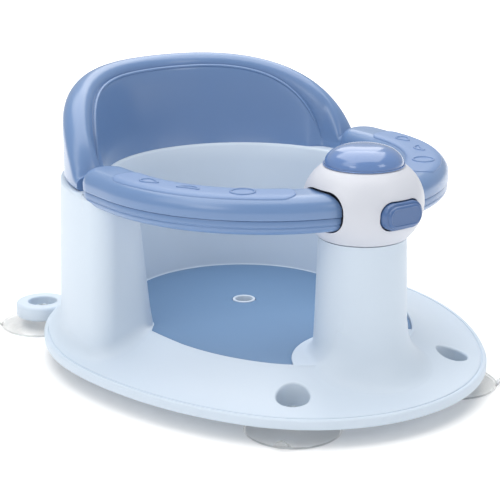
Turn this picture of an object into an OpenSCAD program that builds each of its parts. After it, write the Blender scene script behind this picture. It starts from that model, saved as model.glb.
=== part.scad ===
// Baby bath seat: a tub-standing seat with a high back, a soft floor mat and two curved
// guard arms that swing out from a round front head. Origin on the floor, below the centre
// of the arms' ring. +Z is up and -Y is the front, where the head stands.

/* [Base] */
// Width of the oval base
base_w = 315; // [300:1:325]
// Length of the oval base
base_l = 366; // [350:1:380]
// How far the centre of the oval lies in front of the origin
base_shift = 7; // [0:1:20]
// Height of the lower edge of the base above the floor
base_bottom = 13; // [10:0.5:16]
// Height of the upright lip round the base
lip_h = 7; // [5:0.5:10]
// Rise of the top from the lip to the edge of the mat
skirt_rise = 16.5; // [12:0.5:22]
// Width of the sloping top between the lip and the seat floor
skirt_w = 58.5; // [54:0.5:62]
// Wall thickness of the base moulding
shell_t = 3; // [2.5:0.1:4]

/* [Mat] */
// Thickness of the mat
mat_t = 2; // [1.5:0.1:3]
// Gap round the edge of the mat
mat_gap = 0.4; // [0.2:0.1:1]
// Radius of the mat's cut-out round the front post
notch_r = 40; // [38:0.5:46]
// Radius of the hole over the drain
mat_hole_r = 9.3; // [8:0.1:12]
// Radius of the drain in the seat floor
drain_r = 6.6; // [4:0.1:7]
// How far the drain lies behind the origin
drain_y = 25; // [10:1:40]

/* [Seat wall] */
// Centre of the round wall behind the origin
wall_y = 29; // [26:0.5:32]
// Outer radius of the wall at its foot
wall_foot_ro = 139; // [138:0.5:142]
// Outer radius of the wall at its top
wall_top_ro = 136; // [135:0.5:138]
// Inner radius of the wall at its foot
wall_foot_ri = 88; // [84:0.5:90]
// Inner radius of the wall at its top
wall_top_ri = 99; // [96:0.5:100]
// Height of the top of the wall
wall_top = 137; // [134:0.5:142]
// Place of the wall's front ends behind the origin
wall_end_y = 9; // [6:0.5:12]
// Radius of the upright corners of the wall's ends
wall_corner_r = 14; // [10:0.5:16]
// Gap between the wall's top at the hinges and the arms above
hinge_gap = 4; // [3:0.5:6]

/* [Post] */
// Distance of the post and head in front of the origin
post_y = 115; // [112:0.5:118]
// Radius at the top of the post
post_top_r = 30.5; // [30:0.25:32]
// Radius of the post above the curve of its foot
post_foot_r = 33; // [32:0.25:36]
// Radius of the curve where the post meets the base
post_fillet = 13; // [8:1:16]

/* [Head] */
// Height of the lower ring of the head
head_bottom = 120; // [118:0.5:122]
// Radius of the lower ring of the head
head_ring_r = 30.2; // [29:0.1:31]
// Largest radius of the head
head_r = 41.7; // [41:0.1:43]
// Height of the largest radius of the head
head_mid = 145; // [143:0.5:147]
// Height of the rim round the dome
head_top = 170; // [168:0.5:174]
// Radius of the rim round the dome
head_rim_r = 27.8; // [26:0.1:29]
// Wall thickness of the head shell
head_t = 2.6; // [2.2:0.1:3]
// Rise of the dome cap above the rim
dome_h = 14; // [10:0.5:17]
// Radius of the dome cap
dome_r = 26.6; // [24:0.1:27]

/* [Button] */
// Width of the release button
button_w = 37; // [32:0.5:38]
// Height of the release button
button_h = 18.6; // [16:0.2:20]
// Height of the middle of the button
button_z = 142; // [140.5:0.5:143]
// How far the button stands proud of the head
button_proud = 3; // [2:0.5:5]
// Gap round the button
button_gap = 0.8; // [0.4:0.1:1.2]
// Distance of the back of the button in front of the head's axis
button_seat = 28; // [27.5:0.25:29]
// Travel of the button into the head
button_travel = 4.5; // [3:0.5:4.5]

/* [Arms] */
// Radius of the middle line of the arms' ring
ring_r = 118; // [117:0.25:119]
// Width of an arm
arm_w = 37; // [34:0.5:38]
// Height of the arms' underside
arm_bottom = 131; // [130:0.5:132]
// Height of the lower shell of an arm
arm_lower_h = 10.5; // [9:0.5:12]
// Height of the upper shell of an arm
arm_upper_h = 15.5; // [13:0.5:17]
// Wall thickness of the arm shells
arm_t = 2.4; // [2:0.1:3]
// Place of the hinge axes behind the origin
hinge_y = 25; // [22:0.5:28]
// Angle that an arm swings out
arm_open = 45; // [30:1:45]
// Width of the soft pad on an arm
pad_w = 21; // [16:0.5:24]
// Thickness of the pad
pad_t = 2; // [1.5:0.1:2.4]
// Radius of the hinge pin
pin_r = 4; // [3:0.25:5]
// Radial running clearance of the hinge pin
pin_play = 0.08; // [0.05:0.01:0.1]
// Radius of the round lug under the rear end of an arm
lug_r = 12.5; // [11:0.5:14]

/* [Backrest] */
// Height of the top of the backrest
back_top = 210; // [190:1:225]
// Inset of the backrest from the wall's outer face
back_inset = 3; // [2:0.25:4]
// Width of the rolled rim
rim_w = 28; // [24:0.5:29]
// Depth of the rolled rim from its crest to the bead
rim_drop = 13; // [10:0.5:16]
// Wall thickness of the backrest
back_t = 2.6; // [2:0.1:3.2]

/* [Suction cups] */
// Radius of a suction cup
cup_r = 33.5; // [30:0.5:34]
// Wall thickness of a cup at its edge
cup_t = 1.6; // [1.2:0.1:2.4]
// Distance of the front cups inside the outline of the lip
cup_front_in = 28.4; // [26:0.2:31]
// Angle of the front cups round the nose of the base, from the sideways line
cup_front_turn = 45.8; // [43:0.2:49]
// Distance of the rear cups outside the foot of the wall
cup_rear_out = 26.8; // [25:0.2:29]
// Angle of the rear cups round the wall, from the sideways line
cup_rear_turn = 50.3; // [48:0.1:53]
// Radius of the wells over the cups
well_r = 11.2; // [10:0.1:12]
// Height of the underside of the wells above the floor
well_bottom = 8.5; // [7:0.5:10]
// Radius of the rounded lobes that hold the rear cups
lobe_r = 21; // [18:0.5:24]
// Radius of the neck of a cup's stem
stem_r = 5; // [4:0.1:6]

/* [Fasteners] */
// Radius of a screw's shank
screw_r = 1.6; // [1.2:0.1:2]
// Radius of a screw's head
screw_head_r = 3.2; // [2.8:0.1:3.6]
// Length of the screws in the backrest
back_screw_l = 14; // [10:0.5:16]
// Length of the screws in the arms
arm_screw_l = 12; // [9:0.5:13]
// Length of the screws in the carrier
carrier_screw_l = 6; // [5:0.5:8]

/* [Hidden] */
$fn = 96;

// Gap between faces of parts that move past each other
gap = 0.3;
// Small overrun of cuts past the face that they open
over = 0.5;
// Step that keeps a flat face from only touching the round that it runs into
tangent_step = 0.03;
// Places of parts derived from the sizes above
lip_top = base_bottom + lip_h;
floor_top = lip_top + skirt_rise;
mat_seat = floor_top - 0.2 - mat_t;
floor_under = mat_seat - shell_t;
hinge_top = arm_bottom - hinge_gap;
arm_seam = arm_bottom + arm_lower_h;
arm_top = arm_seam + arm_upper_h;

// Oval of the seat floor: two half rounds joined by short straight sides
base_r = base_w / 2;
straight = base_l / 2 - base_r;

// Outline of the lip: a half round at the back, then on each side a long arc that runs into
// the nose arc. They meet where their common radius has these slopes.
side_cos = 0.8;
side_sin = 0.6;
rear_y = straight - base_shift;
arc_step = (base_l - 2 * base_r) / (side_cos + side_sin - 1);
front_r = base_r - arc_step * (1 - side_cos);
front_y = rear_y - arc_step * side_sin;
side_r = front_r + arc_step;

// Places of the cups from the middle line and from the origin
cup_front_x = (front_r - cup_front_in) * cos(cup_front_turn);
cup_front_y = (front_r - cup_front_in) * sin(cup_front_turn) - front_y;
cup_rear_x = (wall_foot_ro + cup_rear_out) * cos(cup_rear_turn);
cup_rear_y = (wall_foot_ro + cup_rear_out) * sin(cup_rear_turn) + wall_y;

// Colours
pale_blue = [0.84, 0.89, 0.95];
mid_blue = [0.49, 0.61, 0.80];
mat_blue = [0.47, 0.60, 0.79];
white = [0.94, 0.94, 0.96];
clear = [0.85, 0.88, 0.88, 0.5];
steel = [0.72, 0.73, 0.75];

function lerp(a, b, t) = a + (b - a) * t;
function arc(cx, cy, r, a0, a1, n) =
    [for (i = [0 : n]) let (a = lerp(a0, a1, i / n)) [cx + r * cos(a), cy + r * sin(a)]];
function reversed(list) = [for (i = [len(list) - 1 : -1 : 0]) list[i]];

// Plan of the lip's outline, moved inwards
module lip_plan(inset) {
    meet = asin(side_sin);
    polygon(concat(
        arc(0, rear_y, base_r - inset, 0, 180, 48),
        arc(side_r - base_r, rear_y, side_r - inset, 180, 180 + meet, 16),
        arc(0, front_y, front_r - inset, 180 + meet, 360 - meet, 36),
        arc(base_r - side_r, rear_y, side_r - inset, -meet, 0, 16)));
}

// Plan of the floor's oval, moved inwards
module oval_plan(inset) {
    for (y = [-1, 1]) translate([0, y * straight - base_shift]) circle(base_r - inset);
    translate([inset - base_r, -straight - base_shift]) square([2 * (base_r - inset), 2 * straight]);
}

// Section swept round the oval, drawn with the outline at x = 0 and the inside at negative x
module oval_sweep() {
    translate([0, -base_shift, 0]) for (turn = [0, 180]) rotate([0, 0, turn]) {
        translate([0, straight, 0]) rotate_extrude(angle = 180) translate([base_r, 0]) children();
        translate([base_r, straight, 0]) rotate([90, 0, 0]) linear_extrude(2 * straight) children();
    }
}
// Height of the sloping top at a distance in from the lip
function skirt_z(d) = lip_top + skirt_rise * pow(d / skirt_w, 2.2);
skirt_steps = [0.12, 0.3, 0.45, 0.58, 0.7, 0.8, 0.9, 1];
function skirt_line(drop) = [for (t = skirt_steps) [-t * skirt_w, skirt_z(t * skirt_w) - drop]];

// Closed solid through a stack of rings with equal counts of points, from the lowest up
module loft(rings) {
    n = len(rings[0]);
    top = (len(rings) - 1) * n;
    polyhedron(
        points = [for (ring = rings) each ring],
        faces = concat(
            [[for (i = [0 : n - 1]) i]],
            [for (j = [0 : len(rings) - 2], i = [0 : n - 1])
                let (a = j * n + i, b = j * n + (i + 1) % n) [a, a + n, b + n]],
            [for (j = [0 : len(rings) - 2], i = [0 : n - 1])
                let (a = j * n + i, b = j * n + (i + 1) % n) [a, b + n, b]],
            [[for (i = [n - 1 : -1 : 0]) top + i]]));
}

module both_sides() {
    children();
    mirror([1, 0, 0]) children();
}

module ring_wall(r_out, r_in, h) {
    difference() {
        cylinder(r = r_out, h = h);
        translate([0, 0, -over]) cylinder(r = r_in, h = h + 2 * over);
    }
}

// Pan-head screw that points up, with its head's seat at z = 0
module screw(length) {
    head_h = 2;
    translate([0, 0, -head_h]) cylinder(r = screw_head_r, h = head_h);
    cylinder(r = screw_r, h = length);
}

// Radii of the seat wall at a height
function wall_ro(z) = lerp(wall_foot_ro, wall_top_ro, (z - floor_top) / (wall_top - floor_top));
function wall_ri(z) = lerp(wall_foot_ri, wall_top_ri, (z - floor_top) / (wall_top - floor_top));
// Axes of the upright corners at the wall's ends
corner_line = wall_end_y + wall_corner_r;
function corner_xo(z) = sqrt(pow(wall_ro(z) - wall_corner_r, 2) - pow(corner_line - wall_y, 2));
function corner_xi(z) = sqrt(pow(wall_ri(z) + wall_corner_r, 2) - pow(corner_line - wall_y, 2));
// Horseshoe of the seat wall between two heights, moved inwards on every side
module wall_solid(inset, low, high) {
    r = wall_corner_r - inset;
    intersection() {
        translate([0, wall_y, 0]) rotate_extrude() polygon([[wall_ri(low) + inset, low],
            [wall_ro(low) - inset, low], [wall_ro(high) - inset, high], [wall_ri(high) + inset, high]]);
        translate([-base_w, corner_line, 0]) cube([2 * base_w, base_w, 2 * high]);
    }
    both_sides() {
        translate([0, corner_line + over, 0]) rotate([90, 0, 0]) linear_extrude(r + over - tangent_step)
            polygon([[corner_xi(low), low], [corner_xo(low), low], [corner_xo(high), high],
                [corner_xi(high), high]]);
        for (x = [[corner_xi(low), corner_xi(high)], [corner_xo(low), corner_xo(high)]]) intersection() {
            translate([x[0], corner_line, low]) rotate([0, atan2(x[1] - x[0], high - low), 0])
                translate([0, 0, -r]) cylinder(r = r, h = high);
            translate([0, 0, low]) cube([base_w, base_w, high - low]);
        }
    }
}

// Solid swept by the outline of an arm about its hinge, between two heights
module hinge_sweep(r_clear, z0, z1) {
    r = arm_w / 2 + r_clear;
    half = r - tangent_step;
    translate([-ring_r, hinge_y, z0]) cylinder(r = r, h = z1 - z0);
    for (turn = [0, -arm_open])
        translate([-ring_r, hinge_y, z0]) rotate([0, 0, turn])
            translate([-half, -4 * arm_w, 0]) cube([2 * half, 4 * arm_w, z1 - z0]);
}

// Shell of the lip, the sloping top and the edge of the seat floor
floor_edge = skirt_w + 1.5;
module skirt() {
    // The sloping top starts inside the lip and a little below its upper edge
    start = shell_t / 2;
    step = 0.5;
    translate([0, 0, base_bottom]) linear_extrude(lip_h) difference() {
        lip_plan(0);
        lip_plan(shell_t);
    }
    intersection() {
        oval_sweep() polygon(concat(
            [[-start, lip_top - step]],
            skirt_line(0),
            [[-floor_edge, floor_top], [-floor_edge, mat_seat], [-floor_edge - 2 * shell_t, mat_seat],
                [-floor_edge - 2 * shell_t, floor_under]],
            reversed(skirt_line(shell_t)),
            [[-start, lip_top - shell_t - step]]));
        translate([0, 0, base_bottom]) linear_extrude(floor_top) lip_plan(start - step);
    }
    translate([0, 0, floor_under]) linear_extrude(shell_t) oval_plan(floor_edge + shell_t);
}

module floor_plan(gap_round) {
    difference() {
        oval_plan(floor_edge + gap_round);
        translate([0, -post_y]) circle(notch_r + gap_round);
    }
}

// Profile of the post: a slim cone above a foot that curves out into the base
function post_r(z) = lerp(post_top_r, post_foot_r, (head_bottom - z) / (head_bottom - floor_top));
module post_solid() {
    foot_z = lip_top + 4;
    rotate_extrude() polygon(concat(
        [[0, foot_z]],
        [for (a = [0 : 10 : 90])
            [post_r(foot_z + post_fillet) + post_fillet * (1 - sin(a)),
                foot_z + post_fillet * (1 - cos(a)) + 4]],
        [[post_top_r, head_bottom], [0, head_bottom]]));
}

module post_core() {
    // The upper length is straight, to take the carrier's plug
    plug_room = 30;
    rotate_extrude() polygon([[0, base_bottom - over], [post_r(base_bottom) - 1, base_bottom - over],
        [plug_r, head_bottom - plug_room], [plug_r, head_bottom + over], [0, head_bottom + over]]);
}

module at_front_cups() { both_sides() translate([-cup_front_x, -cup_front_y]) children(); }
module at_rear_cups() { both_sides() translate([-cup_rear_x, cup_rear_y]) children(); }

// Well over a cup: a round pocket whose floor grips the neck of the cup's stem
well_floor = 2.5;
module well_boss() {
    intersection() {
        at_front_cups() translate([0, 0, well_bottom])
            cylinder(r = well_r + shell_t, h = floor_top - well_bottom);
        translate([0, -base_shift - straight, 0]) rotate_extrude() translate([base_r, 0])
            polygon(concat([[-skirt_w, 0], [0, 0], [0, lip_top]], skirt_line(0.5)));
    }
}
module well_cut() {
    translate([0, 0, well_bottom + well_floor]) cylinder(r = well_r, h = floor_top);
    translate([0, 0, well_bottom - over]) cylinder(r = stem_r + gap, h = floor_top);
}

module lobe() {
    edge = 2;
    // Neck that joins the lobe to the foot of the wall
    neck_w = 1.7 * lobe_r;
    difference() {
        rotate([0, 0, atan2(wall_y - cup_rear_y, cup_rear_x)])
            translate([well_r + shell_t - 1, -neck_w / 2, base_bottom + 1])
                cube([lobe_r, neck_w, lip_h - 2]);
        translate([0, 0, -over]) cylinder(r = lobe_r - shell_t, h = lip_top - shell_t + over);
    }
    translate([0, 0, well_bottom]) difference() {
        union() {
            translate([0, 0, edge]) cylinder(r = lobe_r, h = lip_top - well_bottom - 2 * edge);
            translate([0, 0, lip_top - well_bottom - edge])
                cylinder(r1 = lobe_r, r2 = lobe_r - edge, h = edge);
            cylinder(r1 = lobe_r - edge, r2 = lobe_r, h = edge);
        }
        translate([0, 0, -over]) difference() {
            cylinder(r = lobe_r - shell_t, h = lip_top - well_bottom - shell_t + over);
            cylinder(r = well_r + shell_t, h = lip_top);
        }
    }
}

// Ribs under the seat floor
module floor_ribs() {
    rib_t = 2;
    rib_reach = 62;
    translate([0, 0, lip_top]) {
        for (x = [-48, -16, 16, 48]) translate([x - rib_t / 2, drain_y - rib_reach, 0])
            cube([rib_t, 1.7 * rib_reach, floor_under + 1 - lip_top]);
        for (y = [-28, 28]) translate([-rib_reach, drain_y + y - rib_t / 2, 0])
            cube([2 * rib_reach, rib_t, floor_under + 1 - lip_top]);
    }
}

hinge_boss_r = 9;
hinge_boss_h = 22;
back_screw_angles = [42, 74, 106, 138];
module wall_core() {
    difference() {
        wall_solid(shell_t, base_bottom, wall_top - shell_t);
        both_sides() hinge_sweep(0.8 + shell_t, hinge_top - shell_t, wall_top);
    }
}

module base_shell() {
    color(pale_blue) difference() {
        union() {
            difference() {
                union() {
                    skirt();
                    wall_solid(0, lip_top - 1, wall_top);
                    translate([0, -post_y, 0]) post_solid();
                }
                wall_core();
                translate([0, -post_y, 0]) post_core();
            }
            at_rear_cups() lobe();
            well_boss();
            floor_ribs();
            both_sides() translate([-ring_r, hinge_y, hinge_top - hinge_boss_h])
                cylinder(r = hinge_boss_r, h = hinge_boss_h - 1);
            translate([0, drain_y, mat_seat - 1]) cylinder(r = mat_hole_r - mat_gap, h = mat_t + 1);
        }
        both_sides() hinge_sweep(0.8, hinge_top, wall_top + over);
        both_sides() translate([-ring_r, hinge_y, 0]) cylinder(r = pin_r, h = wall_top);
        at_front_cups() well_cut();
        at_rear_cups() well_cut();
        translate([0, drain_y, 0]) cylinder(r = drain_r, h = floor_top);
        for (a = back_screw_angles) translate([0, wall_y, wall_top - 2 * shell_t]) rotate([0, 0, a])
            translate([back_mid_r, 0, 0]) cylinder(r = screw_r, h = 3 * shell_t);
    }
}

// Plan of the seat wall at the level of the mat
module wall_footprint(gap_round) {
    translate([-base_w, corner_line]) difference() {
        square([2 * base_w, base_w]);
        translate([base_w, wall_y - corner_line]) circle(wall_ri(mat_seat) - gap_round);
    }
    for (side = [-1, 1]) {
        translate([side * corner_xi(mat_seat), corner_line]) circle(wall_corner_r + gap_round);
        translate([side * (corner_xi(mat_seat) + base_w / 2), corner_line])
            square([base_w, 2 * (wall_corner_r + gap_round)], center = true);
    }
}

module seat_mat() {
    color(mat_blue) translate([0, 0, mat_seat]) linear_extrude(mat_t) difference() {
        floor_plan(mat_gap);
        wall_footprint(mat_gap);
        translate([0, drain_y]) circle(mat_hole_r);
    }
}

// Backrest: one section, swept round the wall, whose crest falls towards both ends
back_ro = wall_top_ro - back_inset;
back_ri = wall_top_ri + 2;
back_mid_r = back_ro - rim_w / 2;
back_reach = 82;
bead_reach = 75;
back_steps = 40;
// Height of the crest and of the bead, by the angle away from the middle of the back
function crest(a) = wall_top + (back_top - wall_top)
    * pow(1 - pow(min(1, abs(a) / back_reach), 2.6), 0.59);
function bead(a) = wall_top + (back_top - rim_drop - wall_top)
    * pow(1 - pow(min(1, abs(a) / bead_reach), 3.2), 0.46);
// Upper outline of the section: up the outer face, over the rolled rim and down the panel
function back_outline(a, inset, least) =
    let (low = wall_top,
        top = max(crest(a) - inset, low + 3 * least),
        inner = min(max(bead(a) - inset, low + least), top - least),
        shoulder = max(top - 15 + inset, low + 1.5 * least),
        ro = back_ro - inset,
        rb = back_ro - rim_w + inset,
        rp = back_ri + inset)
    concat(
        [[ro, low + least]],
        [for (i = [0 : 5]) [lerp(back_mid_r, ro, cos(90 * i / 5)), lerp(shoulder, top, sin(90 * i / 5))]],
        [for (i = [1 : 4]) [lerp(back_mid_r, rb, sin(90 * i / 4)), lerp(inner, top, cos(90 * i / 4))]],
        [[rp + 1.5, inner - 1], [rp, lerp(low, inner, 0.6)]]);
function back_section(a) =
    let (hollow = abs(a) < back_reach - 6 ? 3 : 0.2)
    concat(
        [[back_ro - 2.5, wall_top]],
        back_outline(a, 0, 4),
        [[back_ri, wall_top], [back_ri + back_t, wall_top]],
        reversed(hollow == 3 ? back_outline(a, back_t, 3)
            : [for (p = back_outline(a, back_t, 3)) [p[0], wall_top + 0.2 + 0.01 * (p[0] - back_ri)]]),
        [[back_ro - back_t - 0.5, wall_top]]);
module back_sweep(reach) {
    stations = [for (i = [0 : back_steps]) lerp(-reach, reach, i / back_steps)];
    loft([for (a = reversed(stations)) [for (p = reversed(back_section(a)))
        [p[0] * sin(a), wall_y + p[0] * cos(a), p[1]]]]);
}

// Angle at which the back ends, just clear of the arms' round rear ends
back_end = atan2(wall_y - hinge_y, ring_r)
    + acos((arm_w / 2 + 2 * gap) / norm([ring_r, wall_y - hinge_y]));
module backrest() {
    web_t = 2.4;
    boss_h = back_screw_l - shell_t - 1;
    color(mid_blue) {
        back_sweep(back_end);
        for (a = back_screw_angles) translate([0, wall_y, wall_top]) rotate([0, 0, a]) difference() {
            union() {
                translate([back_ri + back_t / 2, -web_t / 2, 0])
                    cube([back_ro - back_ri - 1.5 * back_t, web_t, boss_h]);
                translate([back_mid_r, 0, 0]) cylinder(r = 2.5 * screw_r, h = boss_h);
            }
            translate([back_mid_r, 0, -over]) cylinder(r = screw_r, h = boss_h + 2 * over);
        }
    }
}

module backrest_screws() {
    color(steel) for (a = back_screw_angles) translate([0, wall_y, wall_top - shell_t])
        rotate([0, 0, a]) translate([back_mid_r, 0, 0]) screw(back_screw_l);
}

// Half profile of the head: two arcs that meet at the widest line
function arc_centre(r_mid, r_end, rise) = (r_mid + r_end - rise * rise / (r_mid - r_end)) / 2;
head_low_c = arc_centre(head_r, head_ring_r, head_mid - head_bottom);
head_high_c = arc_centre(head_r, head_rim_r, head_top - head_mid);
module head_profile(inset) {
    translate([0, head_mid]) {
        intersection() {
            translate([head_low_c, 0]) circle(head_r - head_low_c - inset);
            translate([0, head_bottom - head_mid]) square([head_r, head_mid - head_bottom]);
        }
        intersection() {
            translate([head_high_c, 0]) circle(head_r - head_high_c - inset);
            square([head_r, head_top - head_mid]);
        }
        translate([0, head_bottom - head_mid]) square([head_low_c + over, head_top - head_bottom]);
    }
}

module rounded_slab(w, h, r, d) {
    rotate([90, 0, 0]) linear_extrude(d) union() {
        square([w - 2 * r, h], center = true);
        square([w, h - 2 * r], center = true);
        for (x = [-1, 1], z = [-1, 1]) translate([x * (w / 2 - r), z * (h / 2 - r)]) circle(r);
    }
}

// Slots for the arms' ends: a rounded band turned about each hinge, open to the side
slot_edge = 1.2;
slot_front = [head_r * sin(62), -post_y - head_r * cos(62)];
slot_r_out = norm([ring_r - slot_front[0], hinge_y - slot_front[1]]);
slot_r_in = slot_r_out - arm_w + 1.5;
// Tongue on an arm's end, which the latch noses close off inside the head
tongue_out = slot_r_out - 3;
tongue_in = slot_r_out - 20;
tongue_h = 6;
tongue_bottom = arm_seam - tongue_h;
module arm_slot() {
    w = slot_r_out - slot_r_in;
    h = arm_top - arm_bottom + 2 * slot_edge;
    r = 9;
    translate([-ring_r, hinge_y, arm_bottom - slot_edge]) rotate([0, 0, -73])
        rotate_extrude(angle = 19) translate([slot_r_in, 0]) union() {
            translate([r, 0]) square([w - 2 * r, h]);
            translate([0, r]) square([w, h - 2 * r]);
            for (x = [r, w - r], z = [r, h - r]) translate([x, z]) circle(r);
        }
}

module head_housing() {
    color(white) difference() {
        translate([0, -post_y, 0]) difference() {
            rotate_extrude() head_profile(0);
            rotate_extrude() intersection() {
                head_profile(head_t);
                translate([0, head_bottom + head_t])
                    square([head_r, head_top - head_bottom - 2 * head_t]);
            }
            translate([0, 0, head_bottom - over]) cylinder(r = head_ring_r - head_t, h = 3 * head_t);
            translate([0, 0, head_top - 2 * head_t]) cylinder(r = dome_r - 1, h = 3 * head_t);
            translate([0, 0, head_top - 1.2]) cylinder(r = dome_r + 0.2, h = 3 * head_t);
        }
        both_sides() arm_slot();
        translate([0, -post_y - head_r / 2, button_z]) rounded_slab(button_w + 2 * button_gap,
            button_h + 2 * button_gap, button_h / 2 + button_gap - 1, head_r);
    }
}

// Dome cap: a spherical crown over a spigot that snaps into the head
module head_cap() {
    crown_r = (dome_r * dome_r + dome_h * dome_h) / (2 * dome_h);
    seat = head_top - 1.2;
    color(mid_blue) translate([0, -post_y, 0]) difference() {
        union() {
            intersection() {
                translate([0, 0, head_top + dome_h - crown_r]) sphere(crown_r);
                translate([0, 0, head_top]) cylinder(r = dome_r, h = 2 * dome_h);
            }
            translate([0, 0, seat]) cylinder(r = dome_r, h = head_top - seat);
            translate([0, 0, seat - 5]) cylinder(r = dome_r - 1.2, h = 5);
        }
        translate([0, 0, head_top + dome_h - crown_r]) sphere(crown_r - 2.4);
        translate([0, 0, seat - 6]) cylinder(r = dome_r - 3.4, h = 7.3);
    }
}

// Carrier inside the head: plugs into the post, guides the latch slide and backs its spring
slide_w = 16;
slide_h = 5.5;
plate_top = head_bottom + head_t + 2.2;
slide_bottom = plate_top + gap;
slide_top = slide_bottom + slide_h;
spring_r = 3;
spring_wire_r = 0.5;
spring_z = slide_top + gap + spring_r + spring_wire_r;
spring_w = 2 * (spring_r + spring_wire_r);
spring_start = -post_y - 11;
spring_end = -post_y + 14;
bridge_t = 2.5;
plug_r = post_top_r - shell_t;
carrier_screw_r = plug_r - 6.5;
module head_chassis() {
    rail_t = 2.4;
    rail_front = 24;
    plate_bottom = head_bottom + head_t;
    plug_depth = 24;
    color(white) difference() {
        union() {
            translate([0, -post_y, head_bottom - plug_depth]) ring_wall(plug_r, plug_r - 2.4, plug_depth);
            translate([0, -post_y, head_bottom - 2])
                cylinder(r = head_ring_r - head_t - gap, h = plate_bottom - head_bottom + 2);
            translate([0, -post_y, plate_bottom])
                cylinder(r = head_ring_r - 1 - gap, h = plate_top - plate_bottom);
            both_sides() translate([slide_w / 2 + gap, -post_y - rail_front, plate_bottom])
                cube([rail_t, spring_end + bridge_t + post_y + rail_front,
                    slide_top - plate_bottom + 2 * gap]);
            translate([-slide_w / 2 - gap - rail_t, spring_end, slide_top + gap])
                cube([slide_w + 2 * (gap + rail_t), bridge_t, tongue_bottom - gap - slide_top - gap]);
            translate([-spring_w / 2, spring_end, slide_top + gap])
                cube([spring_w, bridge_t, spring_w + gap]);
        }
        for (a = [90, 210, 330]) translate([0, -post_y, head_bottom - 3]) rotate([0, 0, a])
            translate([carrier_screw_r, 0, 0]) cylinder(r = screw_r, h = carrier_screw_l + 14);
    }
}

module head_screws() {
    color(steel) for (a = [90, 210, 330]) translate([0, -post_y, head_bottom - 2]) rotate([0, 0, a])
        translate([carrier_screw_r, 0, 0]) screw(carrier_screw_l);
}

// Button: a rounded slab in two steps with a flange that keeps it in the head
button_back = -post_y - button_seat;
module release_button() {
    r = button_h / 2 - 1;
    front = -post_y - head_r - button_proud;
    step = 1.6;
    color(mid_blue) translate([0, 0, button_z]) {
        translate([0, front + step, 0]) rounded_slab(button_w - 5, button_h - 5, r - 2.5, step);
        translate([0, front + 2 * step, 0]) rounded_slab(button_w - 1.6, button_h - 1.6, r - 0.8, step);
        translate([0, button_back - 2.2, 0])
            rounded_slab(button_w, button_h, r, button_back - 2.2 - front - 2 * step);
        translate([0, button_back, 0]) rounded_slab(button_w + 4, button_h + 3, r + 1.5, 2.2);
    }
}

// Slide behind the button: runs in the carrier and carries the two noses behind the tongues
nose_r = 3;
nose_x = 15;
nose_y = hinge_y - sqrt(pow(tongue_in - gap - nose_r, 2) - pow(ring_r - nose_x, 2));
module latch_slide() {
    face_t = 2.4;
    bar_h = tongue_bottom - 2 * gap - slide_top;
    color(white) {
        translate([-slide_w / 2, button_back, slide_bottom])
            cube([slide_w, nose_y - button_back, slide_h]);
        translate([-slide_w / 2, button_back, slide_bottom])
            cube([slide_w, face_t, button_z - slide_bottom]);
        translate([-spring_w / 2, spring_start - face_t, slide_top - 1])
            cube([spring_w, face_t, spring_w + gap + 1]);
        translate([-nose_x, nose_y - nose_r, slide_top - 1]) cube([2 * nose_x, 2 * nose_r, bar_h + 1]);
        both_sides() translate([-nose_x, nose_y, slide_top - 1])
            cylinder(r = nose_r, h = arm_seam - slide_top + 1);
    }
}

module button_spring() {
    turns = 6;
    per_turn = 12;
    pitch = (spring_end - spring_start - 2 * spring_wire_r) / turns;
    ring = function (a) let (c = [spring_r * cos(a), spring_start + spring_wire_r + pitch * a / 360,
            spring_r * sin(a)])
        [for (i = [0 : 5]) let (b = -60 * i, out = spring_wire_r * cos(b))
            [c[0] + out * cos(a), c[1] + spring_wire_r * sin(b), c[2] + out * sin(a)]];
    color(steel) translate([0, 0, spring_z])
        loft([for (i = [0 : turns * per_turn]) ring(360 * i / per_turn)]);
}

// Suction cup at its own origin, with its pull tab towards an angle
module suction_cup(tab_angle) {
    crown = well_bottom;
    tip_r = stem_r + 2.5;
    color(clear) {
        rotate_extrude() polygon(concat(
            [[0, crown - 2.2]],
            [for (i = [0 : 8]) let (t = i / 8)
                [lerp(6, cup_r - cup_t, t), (crown - 2.2) * (1 - pow(t, 1.8))]],
            [[cup_r, 0], [cup_r, cup_t]],
            [for (i = [8 : -1 : 1]) let (t = i / 8)
                [lerp(tip_r + 1, cup_r - 2, t), lerp(crown, cup_t + 0.2, pow(t, 1.8))]],
            [[tip_r + 1, crown], [stem_r, crown], [stem_r, crown + well_floor + 0.2],
                [tip_r, crown + well_floor + 0.2], [tip_r - 1, crown + well_floor + 4],
                [0, crown + well_floor + 5]]));
        rotate([0, 0, tab_angle]) {
            translate([cup_r - 2, -5, 0]) cube([8, 10, cup_t]);
            translate([cup_r + 6, 0, 0]) cylinder(r = 5, h = cup_t);
        }
    }
}

module cup_front_left() { translate([-cup_front_x, -cup_front_y, 0]) suction_cup(250); }
module cup_front_right() { translate([cup_front_x, -cup_front_y, 0]) suction_cup(-10); }
module cup_rear_left() { translate([-cup_rear_x, cup_rear_y, 0]) suction_cup(185); }
module cup_rear_right() { translate([cup_rear_x, cup_rear_y, 0]) suction_cup(-5); }

// Hinge pin: pressed into the base from below, with a head under the boss and a push-on cap
// that keeps the arm on it
arm_boss_top = arm_seam - 1;
module hinge_pin_left() {
    head_h = 2.5;
    cap_h = 1.5;
    color(steel) translate([-ring_r, hinge_y, hinge_top - hinge_boss_h]) {
        translate([0, 0, -head_h]) cylinder(r = pin_r + 3, h = head_h);
        cylinder(r = pin_r, h = arm_boss_top + gap + cap_h - hinge_top + hinge_boss_h);
        translate([0, 0, arm_boss_top + gap - hinge_top + hinge_boss_h])
            cylinder(r = pin_r + 2.5, h = cap_h);
    }
}
module hinge_pin_right() { mirror([1, 0, 0]) hinge_pin_left(); }

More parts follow.
